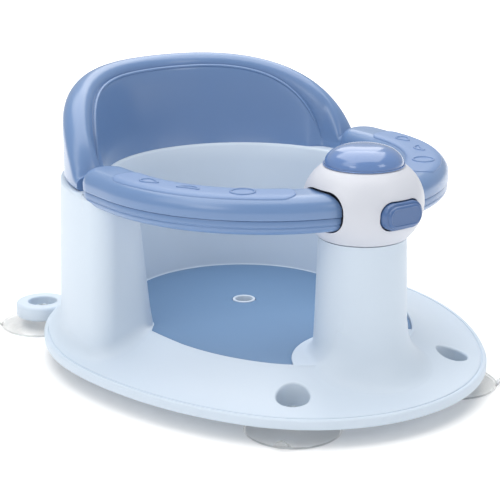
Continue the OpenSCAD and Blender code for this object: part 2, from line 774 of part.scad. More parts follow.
// Section of an arm shell across its run, centred on the middle line
module lower_section(inset) {
    w = arm_w / 2 - 1 - inset;
    r = 6;
    low = arm_bottom + inset;
    high = arm_seam + (inset > 0 ? over : 0);
    polygon(concat([[w, high]], arc(w - r, low + r, r, 0, -90, 6), arc(r - w, low + r, r, 270, 180, 6),
        [[-w, high]]));
}
module upper_section(inset) {
    w = arm_w / 2 - inset;
    r = 8;
    low = arm_seam - (inset > 0 ? over : 0);
    high = arm_top - inset;
    polygon(concat([[w, low]], arc(w - r, high - 1 - r, r, 0, 80, 7), [[0, high]],
        arc(r - w, high - 1 - r, r, 100, 180, 7), [[-w, low]]));
}

// Run of an arm with the section given as the child: round end, straight piece and arc
tip_angle = 84;
module arm_run() {
    translate([ring_r, hinge_y, 0]) rotate_extrude(angle = 180)
        intersection() {
            children();
            translate([0, arm_bottom - arm_w]) square([arm_w, 3 * arm_w]);
        }
    translate([ring_r, hinge_y, 0]) rotate([90, 0, 0]) linear_extrude(hinge_y) children();
    mirror([0, 1, 0]) rotate_extrude(angle = tip_angle) translate([ring_r, 0]) children();
}

head_keep = head_r - 4.5;
module head_cut(grow) {
    translate([0, -post_y, arm_bottom - arm_w]) cylinder(r = head_keep + grow, h = 3 * arm_w);
}

// Boss places along an arm, as angles on the ring
boss_angles = [-14, -38, -60];
boss_r = 4;
module tongue() {
    intersection() {
        translate([ring_r, hinge_y, tongue_bottom]) difference() {
            cylinder(r = tongue_out, h = tongue_h);
            translate([0, 0, -over]) cylinder(r = tongue_in, h = tongue_h + 2 * over);
        }
        translate([4, -post_y - head_r, arm_bottom]) cube([head_keep - 3, 2 * head_r, arm_w]);
        translate([0, -post_y, arm_bottom]) cylinder(r = head_keep + 1.5, h = arm_w);
    }
}

module arm_lower_right() {
    color(mid_blue) difference() {
        union() {
            difference() {
                arm_run() lower_section(0);
                head_cut(0);
                difference() {
                    arm_run() lower_section(arm_t);
                    head_cut(arm_t);
                }
            }
            tongue();
            translate([ring_r, hinge_y, hinge_top + gap])
                cylinder(r = lug_r, h = arm_bottom + 1 - hinge_top - gap);
            translate([ring_r, hinge_y, arm_bottom + 1])
                cylinder(r = pin_r + 3, h = arm_boss_top - arm_bottom - 1);
            for (a = boss_angles) rotate([0, 0, a]) translate([ring_r, 0, arm_bottom + 1])
                cylinder(r = boss_r, h = arm_lower_h - 1 - over);
        }
        translate([ring_r, hinge_y, hinge_top]) cylinder(r = pin_r + pin_play, h = arm_lower_h + hinge_gap);
        for (a = boss_angles) rotate([0, 0, a]) translate([ring_r, 0, arm_bottom - over]) {
            cylinder(r = screw_r, h = arm_lower_h + 1);
            cylinder(r = screw_head_r + 0.3, h = 5 + over);
        }
    }
}

module pad_plan(grow) {
    r = pad_w / 2 + grow;
    first = 8;
    last = -66;
    rotate([0, 0, last]) rotate_extrude(angle = first - last) translate([ring_r - r, 0])
        square([2 * r, 3 * pad_t]);
    for (a = [first, last]) rotate([0, 0, a]) translate([ring_r, 0, 0]) cylinder(r = r, h = 3 * pad_t);
}

module arm_upper_right() {
    pad_seat = arm_top - 1.4;
    color(mid_blue) difference() {
        union() {
            difference() {
                arm_run() upper_section(0);
                head_cut(0);
                difference() {
                    arm_run() upper_section(arm_t + 1);
                    head_cut(arm_t);
                }
            }
            for (a = boss_angles) rotate([0, 0, a]) translate([ring_r, 0, arm_seam - over])
                cylinder(r = boss_r, h = arm_upper_h - arm_t);
        }
        translate([0, 0, pad_seat]) pad_plan(0.3);
        for (a = boss_angles) rotate([0, 0, a]) translate([ring_r, 0, arm_seam - 1])
            cylinder(r = screw_r, h = 9);
    }
}

module arm_pad_right() {
    pad_seat = arm_top - 1.4;
    color(mid_blue) intersection() {
        translate([0, 0, pad_seat]) pad_plan(0);
        translate([-ring_r, -2 * ring_r, pad_seat]) cube([3 * ring_r, 4 * ring_r, pad_t]);
    }
}

module arm_screws_right() {
    color(steel) for (a = boss_angles) rotate([0, 0, a]) translate([ring_r, 0, arm_bottom + 5])
        screw(arm_screw_l);
}

module arm_lower_left() { mirror([1, 0, 0]) arm_lower_right(); }
module arm_upper_left() { mirror([1, 0, 0]) arm_upper_right(); }
module arm_pad_left() { mirror([1, 0, 0]) arm_pad_right(); }
module arm_screws_left() { mirror([1, 0, 0]) arm_screws_right(); }

base_shell();
seat_mat();
backrest();
backrest_screws();
head_housing();
head_chassis();
head_cap();
head_screws();
button_spring();
cup_front_left();
cup_front_right();
cup_rear_left();
cup_rear_right();
hinge_pin_left();
hinge_pin_right();
release_button();
latch_slide();
arm_lower_left();
arm_upper_left();
arm_pad_left();
arm_screws_left();
arm_lower_right();
arm_upper_right();
arm_pad_right();
arm_screws_right();
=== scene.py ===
"""Baby bath seat: an oval base with a round wall and a front post in one pale moulding, a soft
floor mat, a high back, two guard arms that swing out from a white front head, and four clear
suction cups. Pieces are in millimetres until their mesh is made, and the studio is in metres."""
import math

import bmesh
import bpy
import numpy as np
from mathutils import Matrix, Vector


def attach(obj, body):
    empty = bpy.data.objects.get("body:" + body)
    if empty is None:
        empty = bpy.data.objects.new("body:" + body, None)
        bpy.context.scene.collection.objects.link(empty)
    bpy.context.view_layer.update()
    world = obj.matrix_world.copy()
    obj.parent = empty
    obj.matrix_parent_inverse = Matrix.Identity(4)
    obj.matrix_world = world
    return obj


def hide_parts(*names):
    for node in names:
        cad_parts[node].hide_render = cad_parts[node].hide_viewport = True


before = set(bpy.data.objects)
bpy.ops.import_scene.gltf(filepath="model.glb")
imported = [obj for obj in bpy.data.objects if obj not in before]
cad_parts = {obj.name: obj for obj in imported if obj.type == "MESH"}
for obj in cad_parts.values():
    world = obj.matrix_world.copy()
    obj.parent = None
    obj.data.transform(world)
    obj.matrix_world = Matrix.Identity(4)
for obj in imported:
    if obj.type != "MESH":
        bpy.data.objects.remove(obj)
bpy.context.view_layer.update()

# Base moulding: one injection-moulded piece of pale blue plastic with a fine satin grain.
# An oval skirt rises from a low lip to the seat floor. It carries the round seat wall, the
# front post, two pockets for the front cups and two lobes for the rear cups.
BASE_R, STRAIGHT, SHIFT = 157.5, 25.5, 7.0
LIP_BOTTOM, LIP_TOP, FLOOR_TOP = 13.0, 20.0, 36.5
SKIRT_W, SKIRT_RISE, SHELL = 58.5, 16.5, 3.0
MAT_SEAT, FLOOR_UNDER = 34.3, 31.3
DRAIN_Y = 25.0
# A millimetre in metres, the angle past which an edge stays sharp, the distances within which
# points are merged when a mesh is made and after a cut, and the least radius of a turned solid
MM, CREASE, WELD, CUT_WELD, ON_AXIS = 0.001, 32.0, 0.002, 0.0005, 0.01


def turn(low, high, n):
    """Angles in radians of n equal steps from low to high, which are in degrees."""
    return np.radians(np.linspace(low, high, n + 1))


def polar(cx, cy, r, t):
    """Points round a centre: the centre plus radius times cosine and sine of each angle."""
    return np.stack([cx + r * np.cos(t), cy + r * np.sin(t)], -1)


def arc(cx, cy, r, low, high, n):
    """Points of a circle's arc, at n equal steps of the angle in degrees."""
    return polar(cx, cy, r, turn(low, high, n))


def line(points, n):
    """Points along the straight lines through the given points, n equal steps for each line."""
    p = np.asarray(points, float)
    t = np.arange(n) / n
    steps = p[:-1, None] + (p[1:] - p[:-1])[:, None] * t[None, :, None]
    return np.concatenate([steps.reshape(-1, p.shape[1]), p[-1:]])


def grid_faces(rows, cols, wrap_rows, wrap_cols, caps):
    """Quads between the neighbouring points of a grid, with a flat face on each end row."""
    r = np.arange(rows if wrap_rows else rows - 1)[:, None]
    c = np.arange(cols if wrap_cols else cols - 1)[None, :]
    r1, c1 = (r + 1) % rows, (c + 1) % cols
    quads = np.stack([r * cols + c, r * cols + c1, r1 * cols + c1, r1 * cols + c], 2)
    faces = quads.reshape(-1, 4).tolist()
    if caps:
        faces.append(list(range(cols))[::-1])
        faces.append([(rows - 1) * cols + k for k in range(cols)])
    return faces


def tube(loops):
    """Grid of closed outlines, one after the other, with a flat face on each end."""
    return np.stack(loops), False, True, True


def ring(loops):
    """Grid of closed outlines that come back to the first one."""
    return np.stack(loops), True, True, False


def add_object(name, data):
    """Object for a mesh, a lamp or the camera, in the scene."""
    obj = bpy.data.objects.new(name, data)
    bpy.context.scene.collection.objects.link(obj)
    return obj


def piece(name, grids, crease=CREASE):
    """Mesh object from grids of points in millimetres: doubles merged, faces turned outwards."""
    verts, faces = [], []
    for points, wrap_rows, wrap_cols, caps in grids:
        start = sum(len(v) for v in verts)
        rows, cols = points.shape[:2]
        verts.append(points.reshape(-1, 3))
        faces += [[i + start for i in f]
                  for f in grid_faces(rows, cols, wrap_rows, wrap_cols, caps)]
    mesh = bpy.data.meshes.new(name)
    mesh.from_pydata((np.concatenate(verts) * MM).tolist(), [], faces)
    clean(mesh, WELD)
    soften(mesh, crease)
    return add_object(name, mesh)


def clean(mesh, weld):
    """Merges doubles, drops faces with no area and turns the faces of closed shells outwards."""
    work = bmesh.new()
    work.from_mesh(mesh)
    bmesh.ops.remove_doubles(work, verts=work.verts, dist=weld * MM)
    bmesh.ops.dissolve_degenerate(work, edges=work.edges, dist=weld * MM * 0.5)
    bmesh.ops.recalc_face_normals(work, faces=work.faces)
    work.to_mesh(mesh)
    work.free()


def soften(mesh, crease):
    """Smooth shading, with edges that turn by more than the crease angle kept sharp."""
    mesh.polygons.foreach_set("use_smooth", np.ones(len(mesh.polygons), bool))
    mesh.set_sharp_from_angle(angle=math.radians(crease))


def settle(obj):
    """Applies the modifiers of an object to its mesh."""
    depsgraph = bpy.context.evaluated_depsgraph_get()
    mesh = bpy.data.meshes.new_from_object(obj.evaluated_get(depsgraph))
    obj.modifiers.clear()
    old, obj.data = obj.data, mesh
    bpy.data.meshes.remove(old)
    clean(mesh, CUT_WELD)
    soften(mesh, CREASE)


def cut(obj, *cutters):
    """Takes the cutters' shapes out of an object and removes them."""
    for cutter in cutters:
        mod = obj.modifiers.new("cut", "BOOLEAN")
        mod.operation, mod.solver, mod.object = "DIFFERENCE", "EXACT", cutter
    settle(obj)
    for cutter in cutters:
        bpy.data.objects.remove(cutter)


def join(name, parts):
    """One object from several, under a new name."""
    work = bmesh.new()
    for part in parts:
        work.from_mesh(part.data)
        bpy.data.objects.remove(part)
    mesh = bpy.data.meshes.new(name)
    work.to_mesh(mesh)
    work.free()
    soften(mesh, CREASE)
    return add_object(name, mesh)


def revolve(profile, centre, n):
    """Closed profile of radius and height turned about an upright axis in n steps, as a grid:
    each radius goes round the centre, at its own height."""
    p = np.asarray(profile, float)
    plan = polar(*centre, p[:, 0], turn(0, 360, n)[:-1, None])
    return ring(np.dstack([plan, np.broadcast_to(p[:, 1], plan.shape[:2])]))


def at_height(plan, z):
    """Points of a plan with a height, or one height for each, as their third coordinate."""
    return np.column_stack([plan, np.broadcast_to(z, len(plan))])


def stack(loops, heights):
    """Closed outlines laid over each other at given heights, as a grid with capped ends."""
    return tube([at_height(o, z) for o, z in zip(loops, heights)])


def ease(share):
    """Soft step from 0 to 1: the share, kept within 0 and 1, squared times 3 less its double."""
    share = np.clip(share, 0.0, 1.0)
    return share * share * (3 - 2 * share)


def skirt_height(d):
    """Height of the skirt at a distance in from the lip: the rise times that share to 2.2."""
    return LIP_TOP + SKIRT_RISE * np.clip(d / SKIRT_W, 0.0, 1.0) ** 2.2


# The lip in front of SIDE_Y: two long side arcs and a nose arc that touches both
NOSE_Y, SIDE_Y, SIDE_R = -58.0, STRAIGHT - SHIFT, 259.5
NOSE_R = SIDE_R - math.hypot(SIDE_R - BASE_R, SIDE_Y - NOSE_Y)
MEET = math.atan2(SIDE_Y - NOSE_Y, SIDE_R - BASE_R)


def nose_gap(x, y):
    """How far the lip lies inside the plain oval, along the oval's normal: the way to the long
    side arc or, past the line where the arcs meet, to the nose arc."""
    axis_y = np.clip(y, -STRAIGHT - SHIFT, SIDE_Y)
    ux, uy = np.abs(x), y - axis_y
    length = np.maximum(np.hypot(ux, uy), 1e-6)
    ux, uy = ux / length, uy / length

    def way(cx, cy, r):
        """Distance along the normal to a circle, from the normal's start on the oval's axis."""
        along = ux * cx + uy * (cy - axis_y)
        return along + np.sqrt(along ** 2 - cx ** 2 - (cy - axis_y) ** 2 + r ** 2)

    side = way(BASE_R - SIDE_R, SIDE_Y, SIDE_R)
    past = np.arctan2(SIDE_Y - axis_y - side * uy, side * ux + SIDE_R - BASE_R) > MEET
    gap_now = BASE_R - np.where(past, way(0.0, NOSE_Y, NOSE_R), side)
    return np.where(y > SIDE_Y, 0.0, gap_now)


def kept(d):
    """Share of the nose gap that is left at a distance in from the lip: it eases to 0.55."""
    return 1.0 - 0.45 * ease(d / SKIRT_W)


def nose_lean(y):
    """Sideways lean of the base's nose: it eases from nothing at y -20 to 5 mm at y -190."""
    return -5.0 * ease((-20.0 - y) / 170.0)


def inset_at(x, y):
    """Distance in from the lip at a point, found by undoing the lean and the nose gap."""
    x = x - nose_lean(y)
    plain = BASE_R - np.hypot(x, np.maximum(np.abs(y + SHIFT) - STRAIGHT, 0.0))
    d = plain
    room = nose_gap(x, y)
    for _ in range(5):
        d = plain - room * kept(d)
    return d


def ground(x, y):
    """Height of the skirt or floor under a point, from its distance in from the lip."""
    return skirt_height(inset_at(x, y))


def oval(inset, n=96):
    """Outline of the base moved inwards: a plain oval of two half circles and straight sides,
    drawn in by the nose gap and leant sideways at the nose."""
    r = BASE_R - inset
    back = arc(0, STRAIGHT - SHIFT, r, 0, 180, n)
    front = arc(0, -STRAIGHT - SHIFT, r, 180, 360, n)
    left = line([back[-1], front[0]], 8)[1:-1]
    right = line([front[-1], back[0]], 8)[1:-1]
    p = np.concatenate([back, left, front, right])
    axis = np.column_stack([np.zeros(len(p)), np.clip(p[:, 1], -STRAIGHT - SHIFT, SIDE_Y)])
    inward = (axis - p) / np.hypot(*(axis - p).T)[:, None]
    p = p + inward * (nose_gap(p[:, 0], p[:, 1]) * kept(inset))[:, None]
    p[:, 0] += nose_lean(p[:, 1])
    return p


lip_round = 1.7
d_steps = np.concatenate([[4.6, 6.0], np.linspace(8.0, SKIRT_W - 0.9, 22)])
bead = arc(SKIRT_W + 0.35, FLOOR_TOP - 0.75, 0.95, 130, -10, 8)
section = np.concatenate([
    [[SHELL, LIP_BOTTOM], [1.2, LIP_BOTTOM]],
    arc(1.0, LIP_BOTTOM + 1.0, 1.0, 250, 180, 4),
    [[0.0, 16.0]],
    arc(lip_round, LIP_TOP - lip_round, lip_round, 180, 90, 7),
    [[2.6, LIP_TOP], [3.0, LIP_TOP - 0.15], [3.3, LIP_TOP - 0.8], [3.9, LIP_TOP - 0.8],
     [4.2, LIP_TOP - 0.15]],
    np.column_stack([d_steps, skirt_height(d_steps)]),
    bead,
    [[SKIRT_W + 1.35, MAT_SEAT], [64.0, MAT_SEAT], [64.0, FLOOR_UNDER]],
    np.column_stack([d_steps, skirt_height(d_steps) - SHELL])[::-1],
    [[SHELL + 0.2, LIP_TOP - SHELL]]])
skirt = piece("skirt_sheet", [ring(np.stack([at_height(oval(d), z) for d, z in section], 1))])

front_cups = [(-72.2, -132.3), (72.2, -132.3)]
rear_cups = [(-106.0, 156.5), (106.0, 156.5)]
WELL_R, WELL_LOW, WELL_RIM, WELL_STEPS = 11.2, 8.5, 13.0, 64
bore = [[ON_AXIS, 0], [WELL_RIM, 0], [WELL_RIM, 60], [ON_AXIS, 60]]
cut(skirt, *[piece("bore", [revolve(bore, centre, WELL_STEPS)]) for centre in front_cups])

# Pockets for the front cups' stems, with a rolled mouth that follows the skirt
mouth = np.array([[WELL_RIM + 0.25, -0.05], [WELL_RIM, 0.0], [12.5, -0.04], [12.0, -0.2],
                  [11.6, -0.55], [11.3, -1.1], [WELL_R, -1.9]])
pit_floor = np.concatenate([arc(WELL_R - 1.2, 12.2, 1.2, 0, -90, 4),
                            [[5.8, 11.0], [5.4, 10.7], [5.3, WELL_LOW]]])
pit = np.concatenate([line([[WELL_R, 14.0], [WELL_R, 12.4]], 2), pit_floor,
                      [[13.6, WELL_LOW], [14.2, WELL_LOW + 0.6], [14.2, 16.0]]])
pockets = []
for cx, cy in front_cups:
    t = turn(0, 360, WELL_STEPS)[:-1]
    plan = polar(cx, cy, np.concatenate([mouth[:, 0], pit[:, 0]]), t[:, None])
    top = ground(*polar(cx, cy, WELL_RIM, t).T)[:, None]
    z = np.concatenate([top + mouth[:, 1], np.broadcast_to(pit[:, 1], (len(t), len(pit)))], 1)
    pockets.append(ring(np.dstack([plan, z])))

# Lobes for the rear cups: thick round pucks, joined to the wall's foot by a short neck
lobe_section = np.concatenate([
    arc(18.5, 17.5, 2.5, 0, 90, 6), arc(12.7, 18.6, 1.4, 90, 180, 5),
    [[WELL_R, 16.0], [WELL_R, 12.4]], pit_floor, arc(19.0, 10.5, 2.0, 270, 360, 5)])
WALL_Y = 29.0
neck = line([[16.5, -14], [31, -16], [31, 16], [16.5, 14], [16.5, -14]], 4)[:-1]
neck_mid = neck.mean(0)
neck_steps = [(1.5, 10.5), (0, 12), (0, 17.6), (0.5, 18.9), (2.0, 19.5)]
for cx, cy in rear_cups:
    pockets.append(revolve(lobe_section, (cx, cy), 72))
    to_wall = np.array([-cx, WALL_Y - cy]) / math.hypot(cx, WALL_Y - cy)
    sideways = np.array([-to_wall[1], to_wall[0]])
    loops = [np.array([cx, cy]) + p[:, :1] * to_wall + p[:, 1:] * sideways
             for p in (neck_mid + (neck - neck_mid) * (1 - inset / 14) for inset, _ in neck_steps)]
    pockets.append(stack(loops, [z for _, z in neck_steps]))

# Seat floor under the mat, with the raised collar round the drain
FLOOR_STEPS = 144
t = turn(0, 360, FLOOR_STEPS)[:-1]
edge_r = np.full(FLOOR_STEPS, 60.0)
for _ in range(40):
    edge_r += 0.6 * (inset_at(*polar(0, DRAIN_Y, edge_r, t).T) - SKIRT_W - 3.5)
collar = np.array([[6.6, FLOOR_UNDER], [6.6, 35.9], [6.8, 36.4], [7.3, 36.7], [8.2, 36.7],
                   [8.7, 36.4], [8.9, 35.9], [8.9, MAT_SEAT]])
r = np.column_stack([np.broadcast_to(collar[:, 0], (FLOOR_STEPS, len(collar))), edge_r, edge_r])
z = np.broadcast_to([*collar[:, 1], MAT_SEAT - 0.05, FLOOR_UNDER + 0.05], r.shape)
floor_plate = ring(np.dstack([polar(0, DRAIN_Y, r, t[:, None]), z]))

# Round seat wall: a horseshoe in plan with upright rounded ends, leaning in by a few degrees
# outside and out inside. Its foot flares into the skirt, and its top has softened edges.
WALL_TOP, WALL_EDGE, CORNER, CORNER_Y = 137.0, 2.2, 14.0, 23.0
WALL_RO, WALL_RI, LEAN_IN, LEAN_OUT = 139.0, 88.0, 3.0, 11.0
HINGE_TOP, RING_R, HINGE_Y, ARM_HALF = 127.0, 118.0, 25.0, 18.5
FOOT_Z, FOOT_FLARE, LEAST_SHARE, FLARE_FROM, FLARE_WIDTH = 30.0, 10.0, 0.08, 93.0, 16.0
UNDER = 0.04


def horseshoe(z, out):
    """Plan of the wall at a height, moved outwards: an outer and an inner arc round the wall's
    centre, joined by an arc round each corner's centre and short flat fronts."""
    share = (z - FLOOR_TOP) / (WALL_TOP - FLOOR_TOP)
    ro, ri = WALL_RO - LEAN_IN * share, WALL_RI + LEAN_OUT * share
    drop = WALL_Y - CORNER_Y
    xo = math.sqrt((ro - CORNER) ** 2 - drop ** 2)
    xi = math.sqrt((ri + CORNER) ** 2 - drop ** 2)
    bo, bi = math.degrees(math.atan2(drop, xo)), math.degrees(math.atan2(drop, xi))
    rc = CORNER + out
    n_arc, n_corner = 120, 14
    outer = arc(0, WALL_Y, ro + out, -bo, 180 + bo, n_arc)
    inner = arc(0, WALL_Y, ri - out, 180 + bi, -bi, n_arc)
    left = [arc(-xo, CORNER_Y, rc, 180 + bo, 270, n_corner),
            arc(-xi, CORNER_Y, rc, -90, bi, n_corner)]
    right = [arc(xi, CORNER_Y, rc, 180 - bi, 270, n_corner),
             arc(xo, CORNER_Y, rc, -90, -bo, n_corner)]
    flats = [line([ends[0][-1], ends[1][0]], 12)[1:-1] for ends in (left, right)]
    return np.concatenate([outer, left[0][1:], flats[0], left[1], inner[1:], right[0][1:],
                           flats[1], right[1][:-1]])


def flare_share(p):
    """How much of the foot's flare a point takes: it eases from the least share on the seat's
    side to all of it outside, by the distance from the wall's centre."""
    radius = np.hypot(p[:, 0], p[:, 1] - WALL_Y)
    return LEAST_SHARE + (1 - LEAST_SHARE) * ease((radius - FLARE_FROM) / FLARE_WIDTH)


def foot_steps(sunk, n):
    """Steps up a foot's quarter turn: the depth under the skirt, and the angle from level. The
    first lies deeper, to close the foot below."""
    return [(sunk, 0.0)] + [(UNDER, a) for a in turn(0, 90, n)]


foot_loop, far_loop = horseshoe(FOOT_Z, 0.0), horseshoe(FOOT_Z, FOOT_FLARE)
share = flare_share(foot_loop)
wall_rings = []
for sunk, a in foot_steps(UNDER + 1.5, 9):
    p = foot_loop + (far_loop - foot_loop) * (share * (1 - math.sin(a)))[:, None]
    wall_rings.append(at_height(p, ground(*p.T) + FOOT_FLARE * share * (1 - math.cos(a)) - sunk))
for z in np.linspace(50, WALL_TOP - WALL_EDGE, 8):
    wall_rings.append(at_height(horseshoe(z, 0.0), z))
for a in turn(15, 90, 5):
    p = horseshoe(WALL_TOP, -WALL_EDGE * (1 - math.cos(a)))
    wall_rings.append(at_height(p, WALL_TOP - WALL_EDGE * (1 - math.sin(a))))
for inset in (6.0, 12.0):
    wall_rings.append(at_height(horseshoe(WALL_TOP, -inset), WALL_TOP))
wall = piece("wall_sheet", [tube(wall_rings)])


SWING, SWING_GAP, SWING_TOP = 45.0, 0.8, 200.0


def swing_room(side, grow=0.0):
    """Solid swept by an arm over its hinge, grown sideways and down: a disc round the hinge, and
    a wedge between the arm's inner side at rest and its outer side when it is swung out."""
    r, reach = ARM_HALF + SWING_GAP + grow, 60.0
    disc, swung = arc(0, 0, r, 0, 180, 40), arc(0, 0, r, SWING, 0, 10)
    wedge = [[-r, -reach], [reach - r, -90.0], [80.0, -80.0], swung[0] + [reach, -reach]]
    plan = (np.concatenate([disc, wedge, swung[:-1]]) + [RING_R, HINGE_Y]) * [side, 1]
    return piece("swing_room", [stack([plan, plan], [HINGE_TOP - grow, SWING_TOP])])


def wall_hollow():
    """The room inside the wall, open below: its plan moved in by the shell's thickness."""
    heights = [8.0, 30.0, 60.0, 90.0, WALL_TOP - SHELL]
    room = piece("wall_hollow", [stack([horseshoe(z, -SHELL) for z in heights], heights)])
    cut(room, swing_room(-1, SHELL), swing_room(1, SHELL))
    return room


cut(wall, swing_room(-1), swing_room(1), wall_hollow())

# Front post: a slim cone whose foot spreads softly over the skirt, less so beside the mat
POST_Y, PLUG_R, PIN_R = -115.0, 27.5, 4.05
POST_R, POST_TAPER, POST_TOP, POST_STEPS = 33.0, 2.5, 120.0, 120
REAR_FLARE, FRONT_FLARE = 6.6, 19.1
t = turn(0, 360, POST_STEPS)[:-1]
flare = REAR_FLARE + (FRONT_FLARE - REAR_FLARE) * ease((0.35 - np.sin(t)) / 0.9)
post_rings = []
for sunk, a in foot_steps(2.0, 11):
    p = polar(0, POST_Y, POST_R + flare * (1 - math.sin(a)), t)
    post_rings.append(at_height(p, ground(*p.T) + flare * 1.3 * (1 - math.cos(a)) - sunk))
for z in np.linspace(60, POST_TOP, 7):
    r = POST_R - POST_TAPER * (z - FLOOR_TOP) / (POST_TOP - FLOOR_TOP)
    post_rings.append(at_height(polar(0, POST_Y, r, t), z))
post = piece("post_sheet", [tube(post_rings)])


def post_hollow():
    """The room inside the post, open below, with a straight bore above for the head's carrier."""
    room = [[ON_AXIS, 8.0], [30.8, 8.0], [PLUG_R, 90.0], [PLUG_R, POST_TOP + 1.0],
            [ON_AXIS, POST_TOP + 1.0]]
    return piece("post_hollow", [revolve(room, (0, POST_Y), POST_STEPS)])


floor_sheet = piece("floor_sheet", [floor_plate])
cut(post, post_hollow())
cut(skirt, wall_hollow(), post_hollow())
cut(floor_sheet, wall_hollow(), post_hollow())

# Level ground in front of the mat, round the post's foot: the part of the floor's oval that lies
# inside the mat's notch
NOTCH_X, NOTCH_Y, NOTCH_R = 3.0, -138.4, 64.7


def edge_radius(test, cy, t, low_r, high_r, n):
    """Radius round (0, cy) at each angle up to which a test of x and y holds: the range between
    a radius where it holds and one where it fails is halved n times."""
    for _ in range(n):
        mid_r = (low_r + high_r) / 2
        holds = test(*polar(0, cy, mid_r, t).T)
        low_r, high_r = np.where(holds, mid_r, low_r), np.where(holds, high_r, mid_r)
    return low_r


def on_shelf(x, y):
    """True inside both the floor's oval and the notch."""
    in_notch = np.hypot(x - NOTCH_X, y - NOTCH_Y) < NOTCH_R - 0.1
    return in_notch & (inset_at(x, y) > SKIRT_W - 0.7)


t = turn(0, 360, 180)[:-1]
shelf_r = edge_radius(on_shelf, POST_Y, t, np.full(len(t), 20.0), np.full(len(t), 90.0), 16)
shelf_steps = [(0.0, FLOOR_UNDER + 0.1), (0.0, FLOOR_TOP - 0.45), (0.12, FLOOR_TOP - 0.15),
               (0.45, FLOOR_TOP - 0.01)]
shelf_sheet = piece("shelf_sheet", [tube([at_height(polar(0, POST_Y, shelf_r - inset, t), z)
                                          for inset, z in shelf_steps])])
cut(shelf_sheet, post_hollow())

# Ribs under the seat floor, and the bosses inside the wall that hold the hinge pins
RIB_HALF, RIB_REACH, RIB_REAR, BOSS_R, BOSS_LOW = 1.0, 62.0, 43.4, 9.0, 105.0
spans = [(x - RIB_HALF, x + RIB_HALF, -RIB_REACH, RIB_REAR) for x in (-48, -16, 16, 48)]
spans += [(-RIB_REACH, RIB_REACH, y - RIB_HALF, y + RIB_HALF) for y in (-28, 28)]
inside = []
for x0, x1, y0, y1 in spans:
    plan = np.array([[x0, y0], [x1, y0], [x1, y1], [x0, y1]]) + [0, DRAIN_Y]
    inside.append(stack([plan, plan], [LIP_TOP, FLOOR_UNDER + 0.4]))
boss = [[PIN_R, BOSS_LOW], [BOSS_R, BOSS_LOW], [BOSS_R, HINGE_TOP - 1.0],
        [PIN_R, HINGE_TOP - 1.0]]
inside += [revolve(boss, (side * RING_R, HINGE_Y), 48) for side in (-1, 1)]

rest = piece("rest_of_base", pockets + inside)
base = join("base_moulding", [skirt, wall, floor_sheet, shelf_sheet, post, rest])


def new_material(name):
    """Material with its node tree and its shader."""
    mat = bpy.data.materials.new(name)
    mat.use_nodes = True
    return mat, mat.node_tree, mat.node_tree.nodes["Principled BSDF"]


def fill(node, values):
    """Sets the inputs of a node by their names, and returns the node."""
    for socket, value in values.items():
        node.inputs[socket].default_value = value
    return node


def plastic(name, color, roughness, grain=0.02, grain_scale=900.0, cloud=0.025, coat=0.0,
            coat_rough=0.08):
    """Moulded plastic: one colour with a faint uneven tone, and a fine grain in its surface."""
    mat, tree, shader = new_material(name)
    linear = [((c + 0.055) / 1.055) ** 2.4 for c in color]
    place = tree.nodes.new("ShaderNodeTexCoord")
    tone = fill(tree.nodes.new("ShaderNodeTexNoise"), {"Scale": 14.0, "Detail": 3.0})
    mix = tree.nodes.new("ShaderNodeMix")
    mix.data_type = "RGBA"
    fill(mix, {"A": [c * (1 - cloud) for c in linear] + [1],
               "B": [min(1, c * (1 + cloud)) for c in linear] + [1]})
    speck = fill(tree.nodes.new("ShaderNodeTexNoise"), {"Scale": grain_scale, "Detail": 2.0})
    rough = fill(tree.nodes.new("ShaderNodeMapRange"), {"To Min": roughness - 0.05,
                                                        "To Max": roughness + 0.05})
    bump = fill(tree.nodes.new("ShaderNodeBump"), {"Strength": grain, "Distance": 0.001})
    link = tree.links.new
    link(place.outputs["Object"], tone.inputs["Vector"])
    link(place.outputs["Object"], speck.inputs["Vector"])
    link(tone.outputs["Fac"], mix.inputs["Factor"])
    link(mix.outputs["Result"], shader.inputs["Base Color"])
    link(speck.outputs["Fac"], rough.inputs["Value"])
    link(rough.outputs["Result"], shader.inputs["Roughness"])
    link(speck.outputs["Fac"], bump.inputs["Height"])
    link(bump.outputs["Normal"], shader.inputs["Normal"])
    fill(shader, {"Coat Weight": coat, "Coat Roughness": coat_rough})
    return mat


def finish_piece(obj, mat, slot, body, *nodes):
    """Gives a piece its material and its body, and hides the nodes it stands for. The slot is not
    used.
    """
    obj.data.materials.clear()
    obj.data.materials.append(mat)
    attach(obj, body)
    if nodes:
        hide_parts(*nodes)


pale = plastic("pale_blue_satin", (0.812, 0.86, 0.912), 0.42)
finish_piece(base, pale, "pale_shell", "base", "base_shell")

# Floor mat: a soft rubber sheet, 2 mm thick, cut to the seat floor between the wall, the post
# and the skirt's bead, with a hole over the drain. It lies loose in its recess.
MAT_TOP, MAT_GAP, TIP_ROUND, MAT_WALL_R = 36.3, 0.4, 3.0, WALL_RI - 0.2
HOLE_R, MAT_CENTRE, MAT_STEPS = 9.3, 10.0, 480


def on_mat(x, y):
    """True inside the mat's outline: in the floor's oval, out of the round notch at the post,
    with rounded tips between the two, and off the wall."""
    past_edge = SKIRT_W + 1.5 + MAT_GAP - inset_at(x, y) + TIP_ROUND
    past_notch = NOTCH_R - np.hypot(x - NOTCH_X, y - NOTCH_Y) + TIP_ROUND
    inside = np.hypot(np.maximum(past_edge, 0), np.maximum(past_notch, 0)) < TIP_ROUND
    xi = math.sqrt((MAT_WALL_R + CORNER) ** 2 - (WALL_Y - CORNER_Y) ** 2)
    corner = np.hypot(np.abs(x) - xi, y - CORNER_Y) < CORNER + MAT_GAP
    behind = (y > CORNER_Y) & (np.hypot(x, y - WALL_Y) > MAT_WALL_R - MAT_GAP)
    beside = (np.abs(x) > xi) & (y > CORNER_Y - CORNER - MAT_GAP)
    return inside & ~corner & ~behind & ~beside


